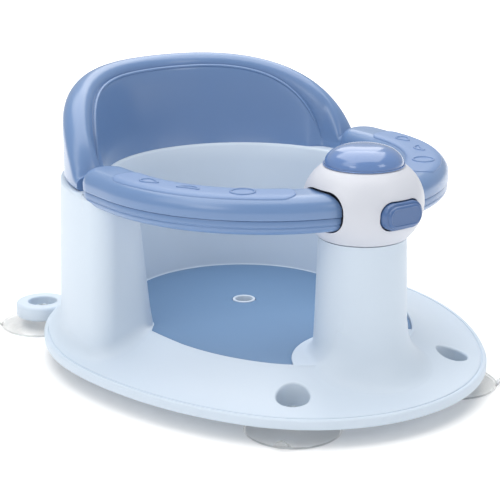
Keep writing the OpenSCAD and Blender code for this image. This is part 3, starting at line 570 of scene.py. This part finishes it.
# The mat's edge is found outwards from its middle: the first probe past it, then by halving
t = turn(0, 360, MAT_STEPS)[:-1]
probe = np.linspace(5, 180, 700)
first_out = np.argmin(on_mat(*polar(0, MAT_CENTRE, probe, t[:, None]).transpose(2, 0, 1)), axis=1)
edge_r = edge_radius(on_mat, MAT_CENTRE, t, probe[first_out - 1], probe[first_out], 12)
hole = polar(0, DRAIN_Y, HOLE_R, t)
way = polar(0, MAT_CENTRE, edge_r, t) - hole
way_unit = way / np.hypot(way[:, 0], way[:, 1])[:, None]
across_mat = [(0, 0.0, -0.5), (0, 0.25, -0.15), (0, 0.7, 0.0), (0.1, 0, 0), (0.35, 0, 0),
              (0.65, 0, 0), (0.9, 0, 0), (1, -0.8, 0.0), (1, -0.3, -0.15), (1, 0, -0.5)]
top_rings = [at_height(hole + way * share + way_unit * off, MAT_TOP + rise)
             for share, off, rise in across_mat]
low_rings = [at_height(loop[:, :2], MAT_SEAT + 0.02) for loop in (top_rings[-1], top_rings[0])]
mat = piece("floor_mat", [ring(top_rings + low_rings)], crease=50)
mat_rubber = plastic("mat_rubber", (0.405, 0.535, 0.68), 0.55, grain=0.05, grain_scale=1400.0,
                     cloud=0.03)
finish_piece(mat, mat_rubber, "mat", "base", "seat_mat")

# Backrest: a moulding in mid-blue plastic, screwed to the wall's top from below and drawn here
# by its outside. A fat rolled rim runs round it, with a fine bead between the rim and the
# recessed, smooth panel.
BACK_TOP, BACK_RO, BACK_RI, RIM_MID = 210.0, 133.0, 101.0, 119.0
CREST_END, BEAD_END, BEAD_DROP, RIM_W = 82.0, 72.5, 9.5, 23.2
BACK_END, FADE_START, FADE_W = 82.3, 67.0, 7.0


def crest(a):
    """Height of the rim at an angle in degrees: its rise times (1 - share cubed) to 0.56, where
    the share is of the angle at which the rim meets the wall."""
    share = min(1, abs(a) / CREST_END)
    return WALL_TOP + (BACK_TOP - WALL_TOP) * (1 - share ** 3.0) ** 0.56


def bead_height(a):
    """Height of the bead at an angle in degrees, by the same form as the rim: its rise times
    (1 - share to 3.6) to 0.62."""
    share = min(1, abs(a) / BEAD_END)
    return WALL_TOP + (BACK_TOP - BEAD_DROP - WALL_TOP) * (1 - share ** 3.6) ** 0.62


def back_section(a):
    """Outline of the back's section at an angle, as radius from the wall's centre and height: a
    quarter ellipse outside, one inside down to the bead, the bead's arc, the panel and the foot.
    Past the bead's end the bead eases away and the panel moves out to the rim."""
    top = max(crest(a), WALL_TOP + 11.5)
    bead_z = min(max(bead_height(a), WALL_TOP + 4.0), top - 4.0)
    shoulder = max(top - 15.0, WALL_TOP + 5.0)
    up = turn(0, 90, 12)
    outer = np.column_stack([RIM_MID + (BACK_RO - RIM_MID) * np.cos(up),
                             shoulder + (top - shoulder) * np.sin(up)])
    down = up[1:]
    inner_r = BACK_RO - RIM_W
    inner = np.column_stack([RIM_MID + (inner_r + 0.6 - RIM_MID) * np.sin(down),
                             bead_z + 0.9 + (top - bead_z - 0.9) * np.cos(down)])
    fade = ease((abs(a) - FADE_START) / FADE_W)
    bead_arc = arc(inner_r - 0.8 + 1.0 * fade, bead_z, 1.25 - 1.15 * fade, 55, 215, 8)
    panel_top = np.array([[inner_r - 1.6 + 1.4 * fade, bead_z - 1.1],
                          [inner_r - 1.9 + 1.6 * fade, bead_z - 1.8]])
    low = WALL_TOP + 1.2
    foot_r = BACK_RI + 0.9 + (inner_r - 1.4 - BACK_RI) * fade
    panel = np.linspace([inner_r - 2.3 + 1.8 * fade, max(bead_z - 3.2, low + 0.6)],
                        [foot_r, low], 8)
    foot = [[foot_r, WALL_TOP], [BACK_RO - 2.6, WALL_TOP], [BACK_RO - 0.5, WALL_TOP + 1.6]]
    side = line([[BACK_RO, WALL_TOP + 3.0], [BACK_RO, shoulder]], 6)[:-1]
    return np.concatenate([side, outer, inner, bead_arc, panel_top, panel, foot])


# The sections stand round the wall's centre, closer together towards the ends
back_loops = []
for a in BACK_END * np.sin(turn(-90, 90, 130)):
    section = back_section(a)
    back_loops.append(at_height(polar(0, WALL_Y, section[:, 0], math.radians(90 - a)),
                                section[:, 1]))
backrest = piece("backrest_moulding", [tube(back_loops)], crease=38)
blue = plastic("mid_blue_satin", (0.41, 0.53, 0.705), 0.33, grain=0.02, cloud=0.02, coat=0.6,
               coat_rough=0.22)
finish_piece(backrest, blue, "blue_shell", "base", "backrest")

# Front head: a white hollow moulding, turned in form, set over the carrier on the post and held
# to it by two screws. It has a rounded slot on each side for the arms, and a racetrack opening
# for the button.
HEAD_R, HEAD_MID, HEAD_LOW, HEAD_TOP, HEAD_WALL = 41.7, 145.0, 120.0, 170.0, 2.6


def bulge(end_r):
    """Centre radius and half angle of the arc from the head's widest line to an end radius: the
    circle through both whose centre lies on the widest line."""
    half_h = HEAD_MID - HEAD_LOW
    centre = (HEAD_R + end_r - half_h ** 2 / (HEAD_R - end_r)) / 2
    return centre, math.degrees(math.asin(half_h / (HEAD_R - centre)))


def head_line(inset):
    """Half profile of the head, moved inwards: two arcs that meet at its widest line."""
    (low_c, low_a), (high_c, high_a) = bulge(30.2), bulge(27.8)
    low = arc(low_c, HEAD_MID, HEAD_R - low_c - inset, -low_a + 2.2, 0, 18)
    high = arc(high_c, HEAD_MID, HEAD_R - high_c - inset, 0, high_a - 2.0, 18)
    return np.concatenate([low, high[1:]])


outer, inner = head_line(0.0), head_line(HEAD_WALL)
head_section = np.concatenate([
    [[28.2, HEAD_LOW + 0.1], [29.3, HEAD_LOW + 0.1], [30.2, HEAD_LOW + 0.5]], outer,
    [[28.0, HEAD_TOP - 0.3], [27.4, HEAD_TOP], [26.9, HEAD_TOP - 0.25], [26.8, HEAD_TOP - 1.2],
     [25.6, HEAD_TOP - 1.3]], inner[::-1][1:], [[28.0, HEAD_LOW + 3.0]]])
head = piece("head_moulding", [revolve(head_section, (0, POST_Y), 160)])


def racetrack(w, h, r, n=12):
    """Outline of a rectangle with rounded corners, centred on its own origin: four quarter arcs."""
    x, y = w / 2 - r, h / 2 - r
    return np.concatenate([arc(x, y, r, 0, 90, n), arc(-x, y, r, 90, 180, n),
                           arc(-x, -y, r, 180, 270, n), arc(x, -y, r, 270, 360, n)])


SLOT_W, SLOT_LOW, SLOT_HIGH, SLOT_ROUND, SLOT_PAST = 38.3, 129.8, 158.2, 13.0, 2.8
SLOT_EDGE, SLOT_FROM, SLOT_TO = 62.0, -73.0, -54.0


def arm_slot(side):
    """Slot for an arm's end: a rounded band turned about the arm's hinge between two angles. Its
    outer side lies a little past the slot's edge, a point of the head's widest line given by
    its angle from the front."""
    edge_x = HEAD_R * math.sin(math.radians(SLOT_EDGE))
    edge_y = POST_Y - HEAD_R * math.cos(math.radians(SLOT_EDGE))
    middle_r = math.hypot(RING_R - edge_x, HINGE_Y - edge_y) + SLOT_PAST - SLOT_W / 2
    band = racetrack(SLOT_W, SLOT_HIGH - SLOT_LOW, SLOT_ROUND)
    band += [middle_r, (SLOT_HIGH + SLOT_LOW) / 2]
    plan = polar(-RING_R, HINGE_Y, band[:, 0], turn(SLOT_FROM, SLOT_TO, 20)[:, None])
    plan *= [side, 1]
    return piece("slot", [tube(np.dstack([plan, np.broadcast_to(band[:, 1], plan.shape[:2])]))])


BUTTON_Z, BUTTON_W, BUTTON_H, BUTTON_GAP, BUTTON_PROUD = 143.2, 32.4, 18.4, 1.0, 3.0


def upright(outline, y):
    """Outline stood upright at a depth, with its origin at the button's height."""
    return np.column_stack([outline[:, 0], np.full(len(outline), y), BUTTON_Z + outline[:, 1]])


# The window is cut through the front of the head alone
opening = racetrack(BUTTON_W + 2 * BUTTON_GAP, BUTTON_H + 2 * BUTTON_GAP, BUTTON_H / 2)
window = piece("window", [tube([upright(opening, y) for y in (POST_Y - 85, POST_Y - 20)])])
cut(head, arm_slot(1), arm_slot(-1), window)
edge = head.modifiers.new("edge", "BEVEL")
edge.width, edge.segments, edge.limit_method = 0.5 * MM, 2, "ANGLE"
edge.angle_limit = math.radians(50)
edge.use_clamp_overlap = True
settle(head)
head_plastic = plastic("head_white_satin", (0.81, 0.82, 0.855), 0.38, grain=0.015, cloud=0.01)
finish_piece(head, head_plastic, "head_white", "base", "head_housing")

# Dome cap: a polished blue crown on a thin ledge that lies over the head's rim, with a skirt
# pressed into the head's mouth. The crown's height falls as the root of 1 - share to 2.8.
DOME_R, DOME_H, CROWN_R, LEDGE = 28.1, 13.7, 27.1, 0.7
crown_share = np.sin(turn(90, 0, 34)) ** 0.8
crown_z = HEAD_TOP + LEDGE + (DOME_H - LEDGE) * (1 - crown_share ** 2.8) ** 0.5
crown = np.column_stack([CROWN_R * crown_share, crown_z])
cap_section = np.concatenate([
    [[25.2, HEAD_TOP - 5.5], [25.3, HEAD_TOP + 0.1], [27.6, HEAD_TOP + 0.1],
     [DOME_R, HEAD_TOP + 0.4], [DOME_R, HEAD_TOP + 0.8], [27.9, HEAD_TOP + 1.1],
     [27.5, HEAD_TOP + 1.1], [27.3, HEAD_TOP + LEDGE]],
    crown, [[0, HEAD_TOP + 8], [22, HEAD_TOP - 5.5]]])
dome = piece("dome_cap", [revolve(cap_section, (0, POST_Y), 128)])
gloss = plastic("dome_blue_gloss", (0.39, 0.51, 0.71), 0.2, grain=0.0, cloud=0.01, coat=0.7)
finish_piece(dome, gloss, "dome_blue", "base", "head_cap")

# Release button: a blue racetrack slab in two steps with a slightly hollow face, which stands
# proud of the head. It slides in the head's window.
button_front = POST_Y - HEAD_R - BUTTON_PROUD
button_steps = [(8.0, 0.45), (5.5, 0.42), (3.9, 0.35), (3.4, 0.0), (3.1, 0.0), (2.6, 0.15),
                (2.1, 0.7), (1.8, 1.5), (1.7, 1.9), (0.9, 2.1), (0.3, 2.5), (0.0, 3.1),
                (0.0, 14.0)]
loops = []
for inset, depth in button_steps:
    corner = max(BUTTON_H / 2 - 0.6 - inset, 0.5)
    outline = racetrack(BUTTON_W - 2 * inset, BUTTON_H - 2 * inset, corner, 10)
    loops.append(upright(outline, button_front + depth))
button = piece("release_button_cap", [tube(loops)])
button_blue = plastic("button_blue_satin", (0.29, 0.41, 0.60), 0.3, grain=0.008, cloud=0.015,
                      coat=0.25)
finish_piece(button, button_blue, "button_blue", "release_button", "release_button")

# Guard arms: each is an upper and a lower shell in blue plastic, screwed together from below,
# with a fine seam between them. The rear end turns on a steel pin in the wall's top, and a
# soft pad with raised shapes lies along the top.
SEAM, ARM_LOW, ARM_HIGH, TIP_R = 141.5, 131.0, 157.0, 37.2
SHOULDER_R, SHOULDER_Z, LUG_R, LUG_LOW = 11.0, 145.3, 15.6, 127.3


def arm_outline(inset, n_end=24, n_run=64):
    """Plan of the right arm moved inwards: round rear end, straight piece, ring and front end.
    The front end follows the circle inside the head where the arm stops."""
    w = ARM_HALF - inset

    def tip_angle(r):
        """Ring angle at which a radius meets the tip's circle, by the rule of cosines."""
        return 90 - math.degrees(math.acos((r * r + POST_Y ** 2 - TIP_R ** 2) / (-2 * r * POST_Y)))

    rear = arc(RING_R, HINGE_Y, w, 0, 180, n_end)
    inner_a, outer_a = tip_angle(RING_R - w), tip_angle(RING_R + w)
    inner = arc(0, 0, RING_R - w, 0, -inner_a, n_run)
    outer = arc(0, 0, RING_R + w, -outer_a, 0, n_run)
    first = math.degrees(math.atan2(inner[-1][1] - POST_Y, inner[-1][0]))
    last = math.degrees(math.atan2(outer[0][1] - POST_Y, outer[0][0]))
    tip = arc(0, POST_Y, TIP_R, first, last, 12)
    run = [line([rear[-1], inner[0]], 5)[1:-1], line([outer[-1], rear[0]], 5)[1:-1]]
    return np.concatenate([rear, run[0], inner, tip[1:-1], outer, run[1]])


def arm_top(x, y):
    """Height of the arm's top at a distance from its middle line: the lower of a flat parabola,
    the crown, and a circle's arc, the rounded shoulder."""
    lateral = np.where(y > 0, np.abs(np.abs(x) - RING_R), np.abs(np.hypot(x, y) - RING_R))
    crown = ARM_HIGH - 0.72 * np.clip(lateral / 7.3, 0, 1) ** 2
    past = np.maximum(lateral - ARM_HALF + SHOULDER_R, 0.0)
    shoulder = SHOULDER_Z + np.sqrt(np.maximum(SHOULDER_R ** 2 - past ** 2, 0.0))
    return np.minimum(crown, shoulder)


def shoulder_loops():
    """Insets and heights up the side of the upper shell and over its rounded shoulder."""
    side = [(3.0, SEAM + 0.1), (0.7, SEAM + 0.1), (0.25, SEAM + 0.2), (0.05, SEAM + 0.45),
            (0.0, SEAM + 0.8), (0.05, 144.2)]
    bend = arc(SHOULDER_R, SHOULDER_Z, SHOULDER_R, 175, 97, 14)
    crown = [(x, arm_top(RING_R + ARM_HALF - x, 0.0)) for x in (11.2, 13.0, 15.5, 18.0)]
    return side + [tuple(p) for p in bend] + crown


def lower_loops():
    """Insets and heights down the side of the lower shell, with a fine groove, and under it."""
    side = [(3.2, SEAM - 0.05), (1.4, SEAM - 0.05), (0.75, SEAM - 0.25), (0.5, SEAM - 0.7),
            (0.5, 137.3)]
    bend = arc(6.5, 137.0, 6.0, 178, 270, 14)
    bend[:3, 0] += [0.15, 0.5, 0.12]
    return side + [tuple(p) for p in bend] + [(12.0, ARM_LOW), (18.0, ARM_LOW)]


PAD_HALF, PAD_CORNER, PAD_REAR, PAD_FRONT, PAD_RISE = 13.2, 10.5, 5.0, -132.0, 0.75


def pad_outline(inset):
    """Plan of the soft pad moved inwards: a band with rounded ends, drawn straight and then laid
    along the arm. In front of the hinge line its length runs as an arc of the ring."""
    w, r = PAD_HALF - inset, max(PAD_CORNER - inset, 0.3)
    half = (PAD_REAR - PAD_FRONT) / 2 - inset
    rear_right, rear_left, front_left, front_right = np.split(racetrack(2 * w, 2 * half, r, 8), 4)
    run = np.linspace(half - r, r - half, 50)[1:-1]
    left = np.column_stack([np.full_like(run, -w), run])
    right = np.column_stack([np.full_like(run, w), run[::-1]])
    band = np.concatenate([rear_right, rear_left, left, front_left, front_right, right])
    across, along = band[:, 0], band[:, 1] + (PAD_REAR + PAD_FRONT) / 2
    bent = polar(0, 0, RING_R + across, along / RING_R)
    straight = np.column_stack([RING_R + across, along])
    return np.where((along > 0)[:, None], straight, bent)


MARK_W, MARK_H = 0.9, 0.95


def motif(kind, angle):
    """Raised outline on the pad: a round rib along a closed curve in the pad's plane, laid at a
    ring angle. The curve is an ellipse for the ring, an egg for the leaf and a bent ellipse for
    the wave."""
    t = turn(0, 360, 48)[:-1]
    if kind == "ring":
        u, v = 8.2 * np.cos(t), 7.6 * np.sin(t)
    elif kind == "leaf":
        u, v = 7.5 * np.cos(t), 5.2 * np.sin(t) * (0.75 + 0.45 * np.cos(t))
    else:
        u, v = 8.0 * np.cos(t), 2.4 * np.sin(t) + 3.0 * np.cos(t) ** 2 - 1.5
    path = polar(0, 0, RING_R + v, math.radians(angle) + u / RING_R)
    way = np.roll(path, -1, 0) - np.roll(path, 1, 0)
    way /= np.hypot(way[:, 0], way[:, 1])[:, None]
    outwards = np.column_stack([way[:, 1], -way[:, 0]])
    a = turn(0, 360, 8)[:-1]
    plan = path[:, None] + MARK_W * np.cos(a)[None, :, None] * outwards[:, None]
    z = (arm_top(*path.T) + PAD_RISE - 0.1)[:, None] + MARK_H * np.sin(a)
    return ring(np.dstack([plan, z]))


def mirrored(grid, side):
    """The grid as it is for the right side, or turned over to the left side."""
    points, *rest_of = grid
    return (points * [side, 1, 1], *rest_of)


pad_soft = plastic("arm_pad_rubber", (0.45, 0.555, 0.725), 0.36, grain=0.03, grain_scale=1200.0,
                   cloud=0.02)
upper_steps, lower_steps = shoulder_loops(), lower_loops()
pad_steps = [(0.0, -0.6), (0.0, -0.1), (0.1, 0.3), (0.4, 0.58), (0.9, 0.71), (1.6, PAD_RISE),
             (3.0, PAD_RISE), (5.0, PAD_RISE), (7.5, PAD_RISE), (10.2, PAD_RISE), (12.9, PAD_RISE)]
marks = [motif("leaf", -12.5), motif("wave", -28.5), motif("ring", -47.0)]
pad_loops = [pad_outline(inset) for inset, _ in pad_steps]
pad = stack(pad_loops, [arm_top(*loop.T) + rise for loop, (_, rise) in zip(pad_loops, pad_steps)])
upper, lower = [stack([arm_outline(i) for i, _ in steps], [z for _, z in steps])
                for steps in (upper_steps, lower_steps)]
lug = revolve([[ON_AXIS, LUG_LOW], [LUG_R - 1.0, LUG_LOW], [LUG_R - 0.3, LUG_LOW + 0.3],
               [LUG_R, LUG_LOW + 1.0], [LUG_R, ARM_LOW + 1.0], [ON_AXIS, ARM_LOW + 1.0]],
              (RING_R, HINGE_Y), 64)
for name, side in (("left", -1), ("right", 1)):
    body = name + "_arm"
    obj = piece("arm_upper_moulding_" + name, [mirrored(upper, side)], crease=40)
    finish_piece(obj, blue, "blue_shell", body, "arm_upper_" + name)

    obj = piece("arm_lower_moulding_" + name, [mirrored(lower, side), mirrored(lug, side)],
                crease=40)
    finish_piece(obj, blue, "blue_shell", body, "arm_lower_" + name)

    obj = piece("arm_pad_sheet_" + name, [mirrored(grid, side) for grid in [pad] + marks],
                crease=50)
    finish_piece(obj, pad_soft, "arm_pad", body, "arm_pad_" + name)

# Suction cups: clear soft vinyl, each a thin bell with a neck that snaps into its pocket and
# a thin pull tab. The four stand on the bath's floor with their rims.
CUP_R, CUP_T, BELL_H, BELL_ROOM = 33.5, 1.6, 8.4, 6.2
TAB_REACH, TAB_HALF, TAB_RISE, TAB_T = 7.0, 5.6, 7.5, 0.55


def clear_vinyl():
    """Clear vinyl: it bends the light as glass does, and a part of the light passes straight
    through, so that what lies behind stays readable."""
    mat, tree, shader = new_material("clear_vinyl")
    fill(shader, {"Transmission Weight": 1.0, "IOR": 1.46, "Alpha": 0.62,
                  "Base Color": (0.97, 0.98, 0.98, 1)})
    place = tree.nodes.new("ShaderNodeTexCoord")
    speck = fill(tree.nodes.new("ShaderNodeTexNoise"), {"Scale": 120.0})
    rough = fill(tree.nodes.new("ShaderNodeMapRange"), {"To Min": 0.03, "To Max": 0.09})
    tree.links.new(place.outputs["Object"], speck.inputs["Vector"])
    tree.links.new(speck.outputs["Fac"], rough.inputs["Value"])
    tree.links.new(rough.outputs["Result"], shader.inputs["Roughness"])
    return mat


def cup(cx, cy, tab):
    """Bell of revolution, whose height falls with the radius to the power 1.8, with its rim and
    stem, and a rounded tab towards an angle, which curls up by its length to the power 1.5."""
    share = np.linspace(1, 0, 17)
    bell_out = np.column_stack([8.5 + (CUP_R - 2.0 - 8.5) * share,
                                BELL_H - (BELL_H - CUP_T - 0.1) * share ** 1.8])
    bell_in = np.column_stack([4.0 + (CUP_R - CUP_T - 4.0) * share[::-1],
                               BELL_ROOM * (1 - share[::-1] ** 1.8)])
    rim = np.array([[CUP_R - 0.4, 0.0], [CUP_R, 0.35], [CUP_R, 1.1], [CUP_R - 0.5, CUP_T]])
    stem = np.array([[5.0, BELL_H], [5.0, 11.2], [7.3, 11.25], [7.5, 11.8], [6.8, 14.0],
                     [5.5, 15.6], [3.0, 16.2], [0.0, 16.3], [0.0, BELL_ROOM]])
    bell = revolve(np.concatenate([bell_in, rim, bell_out, stem]), (cx, cy), 96)
    share = np.linspace(0, 1, 12)
    out = CUP_R - CUP_T + TAB_REACH * share
    rise = 0.8 + TAB_RISE * share ** 1.5
    half = TAB_HALF * (1 - share ** 3.5) ** 0.5 + 0.15
    side = np.concatenate([np.linspace(-1, 1, 9), np.linspace(1, -1, 9)])
    thick = np.repeat([TAB_T, -TAB_T], 9) * (1 - 0.8 * np.abs(side) ** 6)
    away, over = polar(0, 0, 1, math.radians(tab)), polar(0, 0, 1, math.radians(tab + 90))
    plan = np.array([cx, cy]) + out[:, None, None] * away + (half[:, None] * side)[..., None] * over
    return [bell, tube(np.dstack([plan, rise[:, None] + thick]))]


vinyl = clear_vinyl()
tabs = {"cup_front_left": 222, "cup_front_right": -42, "cup_rear_left": 150, "cup_rear_right": 30}
for node_name, centre in zip(tabs, front_cups + rear_cups):
    obj = piece(node_name + "_bell", cup(*centre, tabs[node_name]))
    finish_piece(obj, vinyl, "clear_cup", "base", node_name)

# Steel pins, screws and spring, and the white carrier and latch slide inside the head: these
# keep their exact solids and only take their finish
steel = plastic("bright_steel", (0.78, 0.79, 0.81), 0.3, grain=0.01, cloud=0.01)
steel.node_tree.nodes["Principled BSDF"].inputs["Metallic"].default_value = 1.0
inner_white = plastic("inner_white", (0.9, 0.9, 0.93), 0.5)
steel_nodes = ["hinge_pin_left", "hinge_pin_right", "backrest_screws", "head_screws",
               "arm_screws_left", "arm_screws_right", "button_spring"]
for finish, node_names in ((steel, steel_nodes), (inner_white, ["head_chassis", "latch_slide"])):
    for node_name in node_names:
        node_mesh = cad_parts[node_name].data
        node_mesh.materials.clear()
        node_mesh.materials.append(finish)

# Studio: a plain pale floor, a broad soft light from above, weaker ones from the left and the
# rear, two small windows in front, and an even pale surround. The paper glows a little, more so
# away from the seat, as a lit studio sweep does.
FLOOR_HALF = 9.0
mesh = bpy.data.meshes.new("studio_floor")
mesh.from_pydata([(x * FLOOR_HALF, y * FLOOR_HALF, 0.0)
                  for x, y in ((-1, -1), (1, -1), (1, 1), (-1, 1))], [], [(0, 1, 2, 3)])
studio = add_object("studio_floor", mesh)
paper, tree, shader = new_material("studio_paper")
fill(shader, {"Base Color": (0.95, 0.95, 0.95, 1), "Roughness": 0.7, "Emission Color": (1, 1, 1, 1)})
place = tree.nodes.new("ShaderNodeTexCoord")
far = tree.nodes.new("ShaderNodeVectorMath")
far.operation = "LENGTH"
glow = fill(tree.nodes.new("ShaderNodeMapRange"),
            {"From Min": 0.3, "From Max": 1.6, "To Min": 0.15, "To Max": 0.6})
tree.links.new(place.outputs["Object"], far.inputs[0])
tree.links.new(far.outputs["Value"], glow.inputs["Value"])
tree.links.new(glow.outputs["Result"], shader.inputs["Emission Strength"])
mesh.materials.append(paper)

world = bpy.data.worlds.new("surround")
bpy.context.scene.world = world
world.use_nodes = True
fill(world.node_tree.nodes["Background"], {"Color": (0.93, 0.965, 1.0, 1), "Strength": 0.48})
bpy.context.scene.view_settings.view_transform = "Standard"


def face(obj, place, target):
    """Puts a lamp or the camera at a place and turns it towards a target."""
    obj.location = place
    sight = Vector(target) - Vector(place)
    obj.rotation_euler = sight.to_track_quat("-Z", "Y").to_euler()


def softbox(name, place, size, power):
    """Square area light of a size in metres and a power in watts, turned to face the seat."""
    lamp = bpy.data.lights.new(name, "AREA")
    lamp.energy, lamp.size, lamp.color = power, size, (1.0, 0.98, 0.945)
    face(add_object(name, lamp), place, (0, 0, 0.1))


softbox("top", (0.15, 0.3, 1.8), 2.2, 35.0)
softbox("key", (-1.3, 0.0, 1.35), 1.0, 5.0)
softbox("rim", (0.9, 1.2, 1.2), 0.9, 4.0)
softbox("window_left", (-1.45, -0.55, 0.95), 0.5, 2.2)
softbox("window_right", (0.45, -1.45, 1.05), 0.5, 2.2)

# Camera at the photograph's angle: left of the front, a little above, from about 1.15 m
lens = bpy.data.cameras.new("camera")
lens.lens, lens.sensor_width = 107.4, 36.0
camera = add_object("camera", lens)
face(camera, (-0.6389, -0.8688, 0.4032), (0.00575, 0.025, 0.0746))
bpy.context.scene.camera = camera
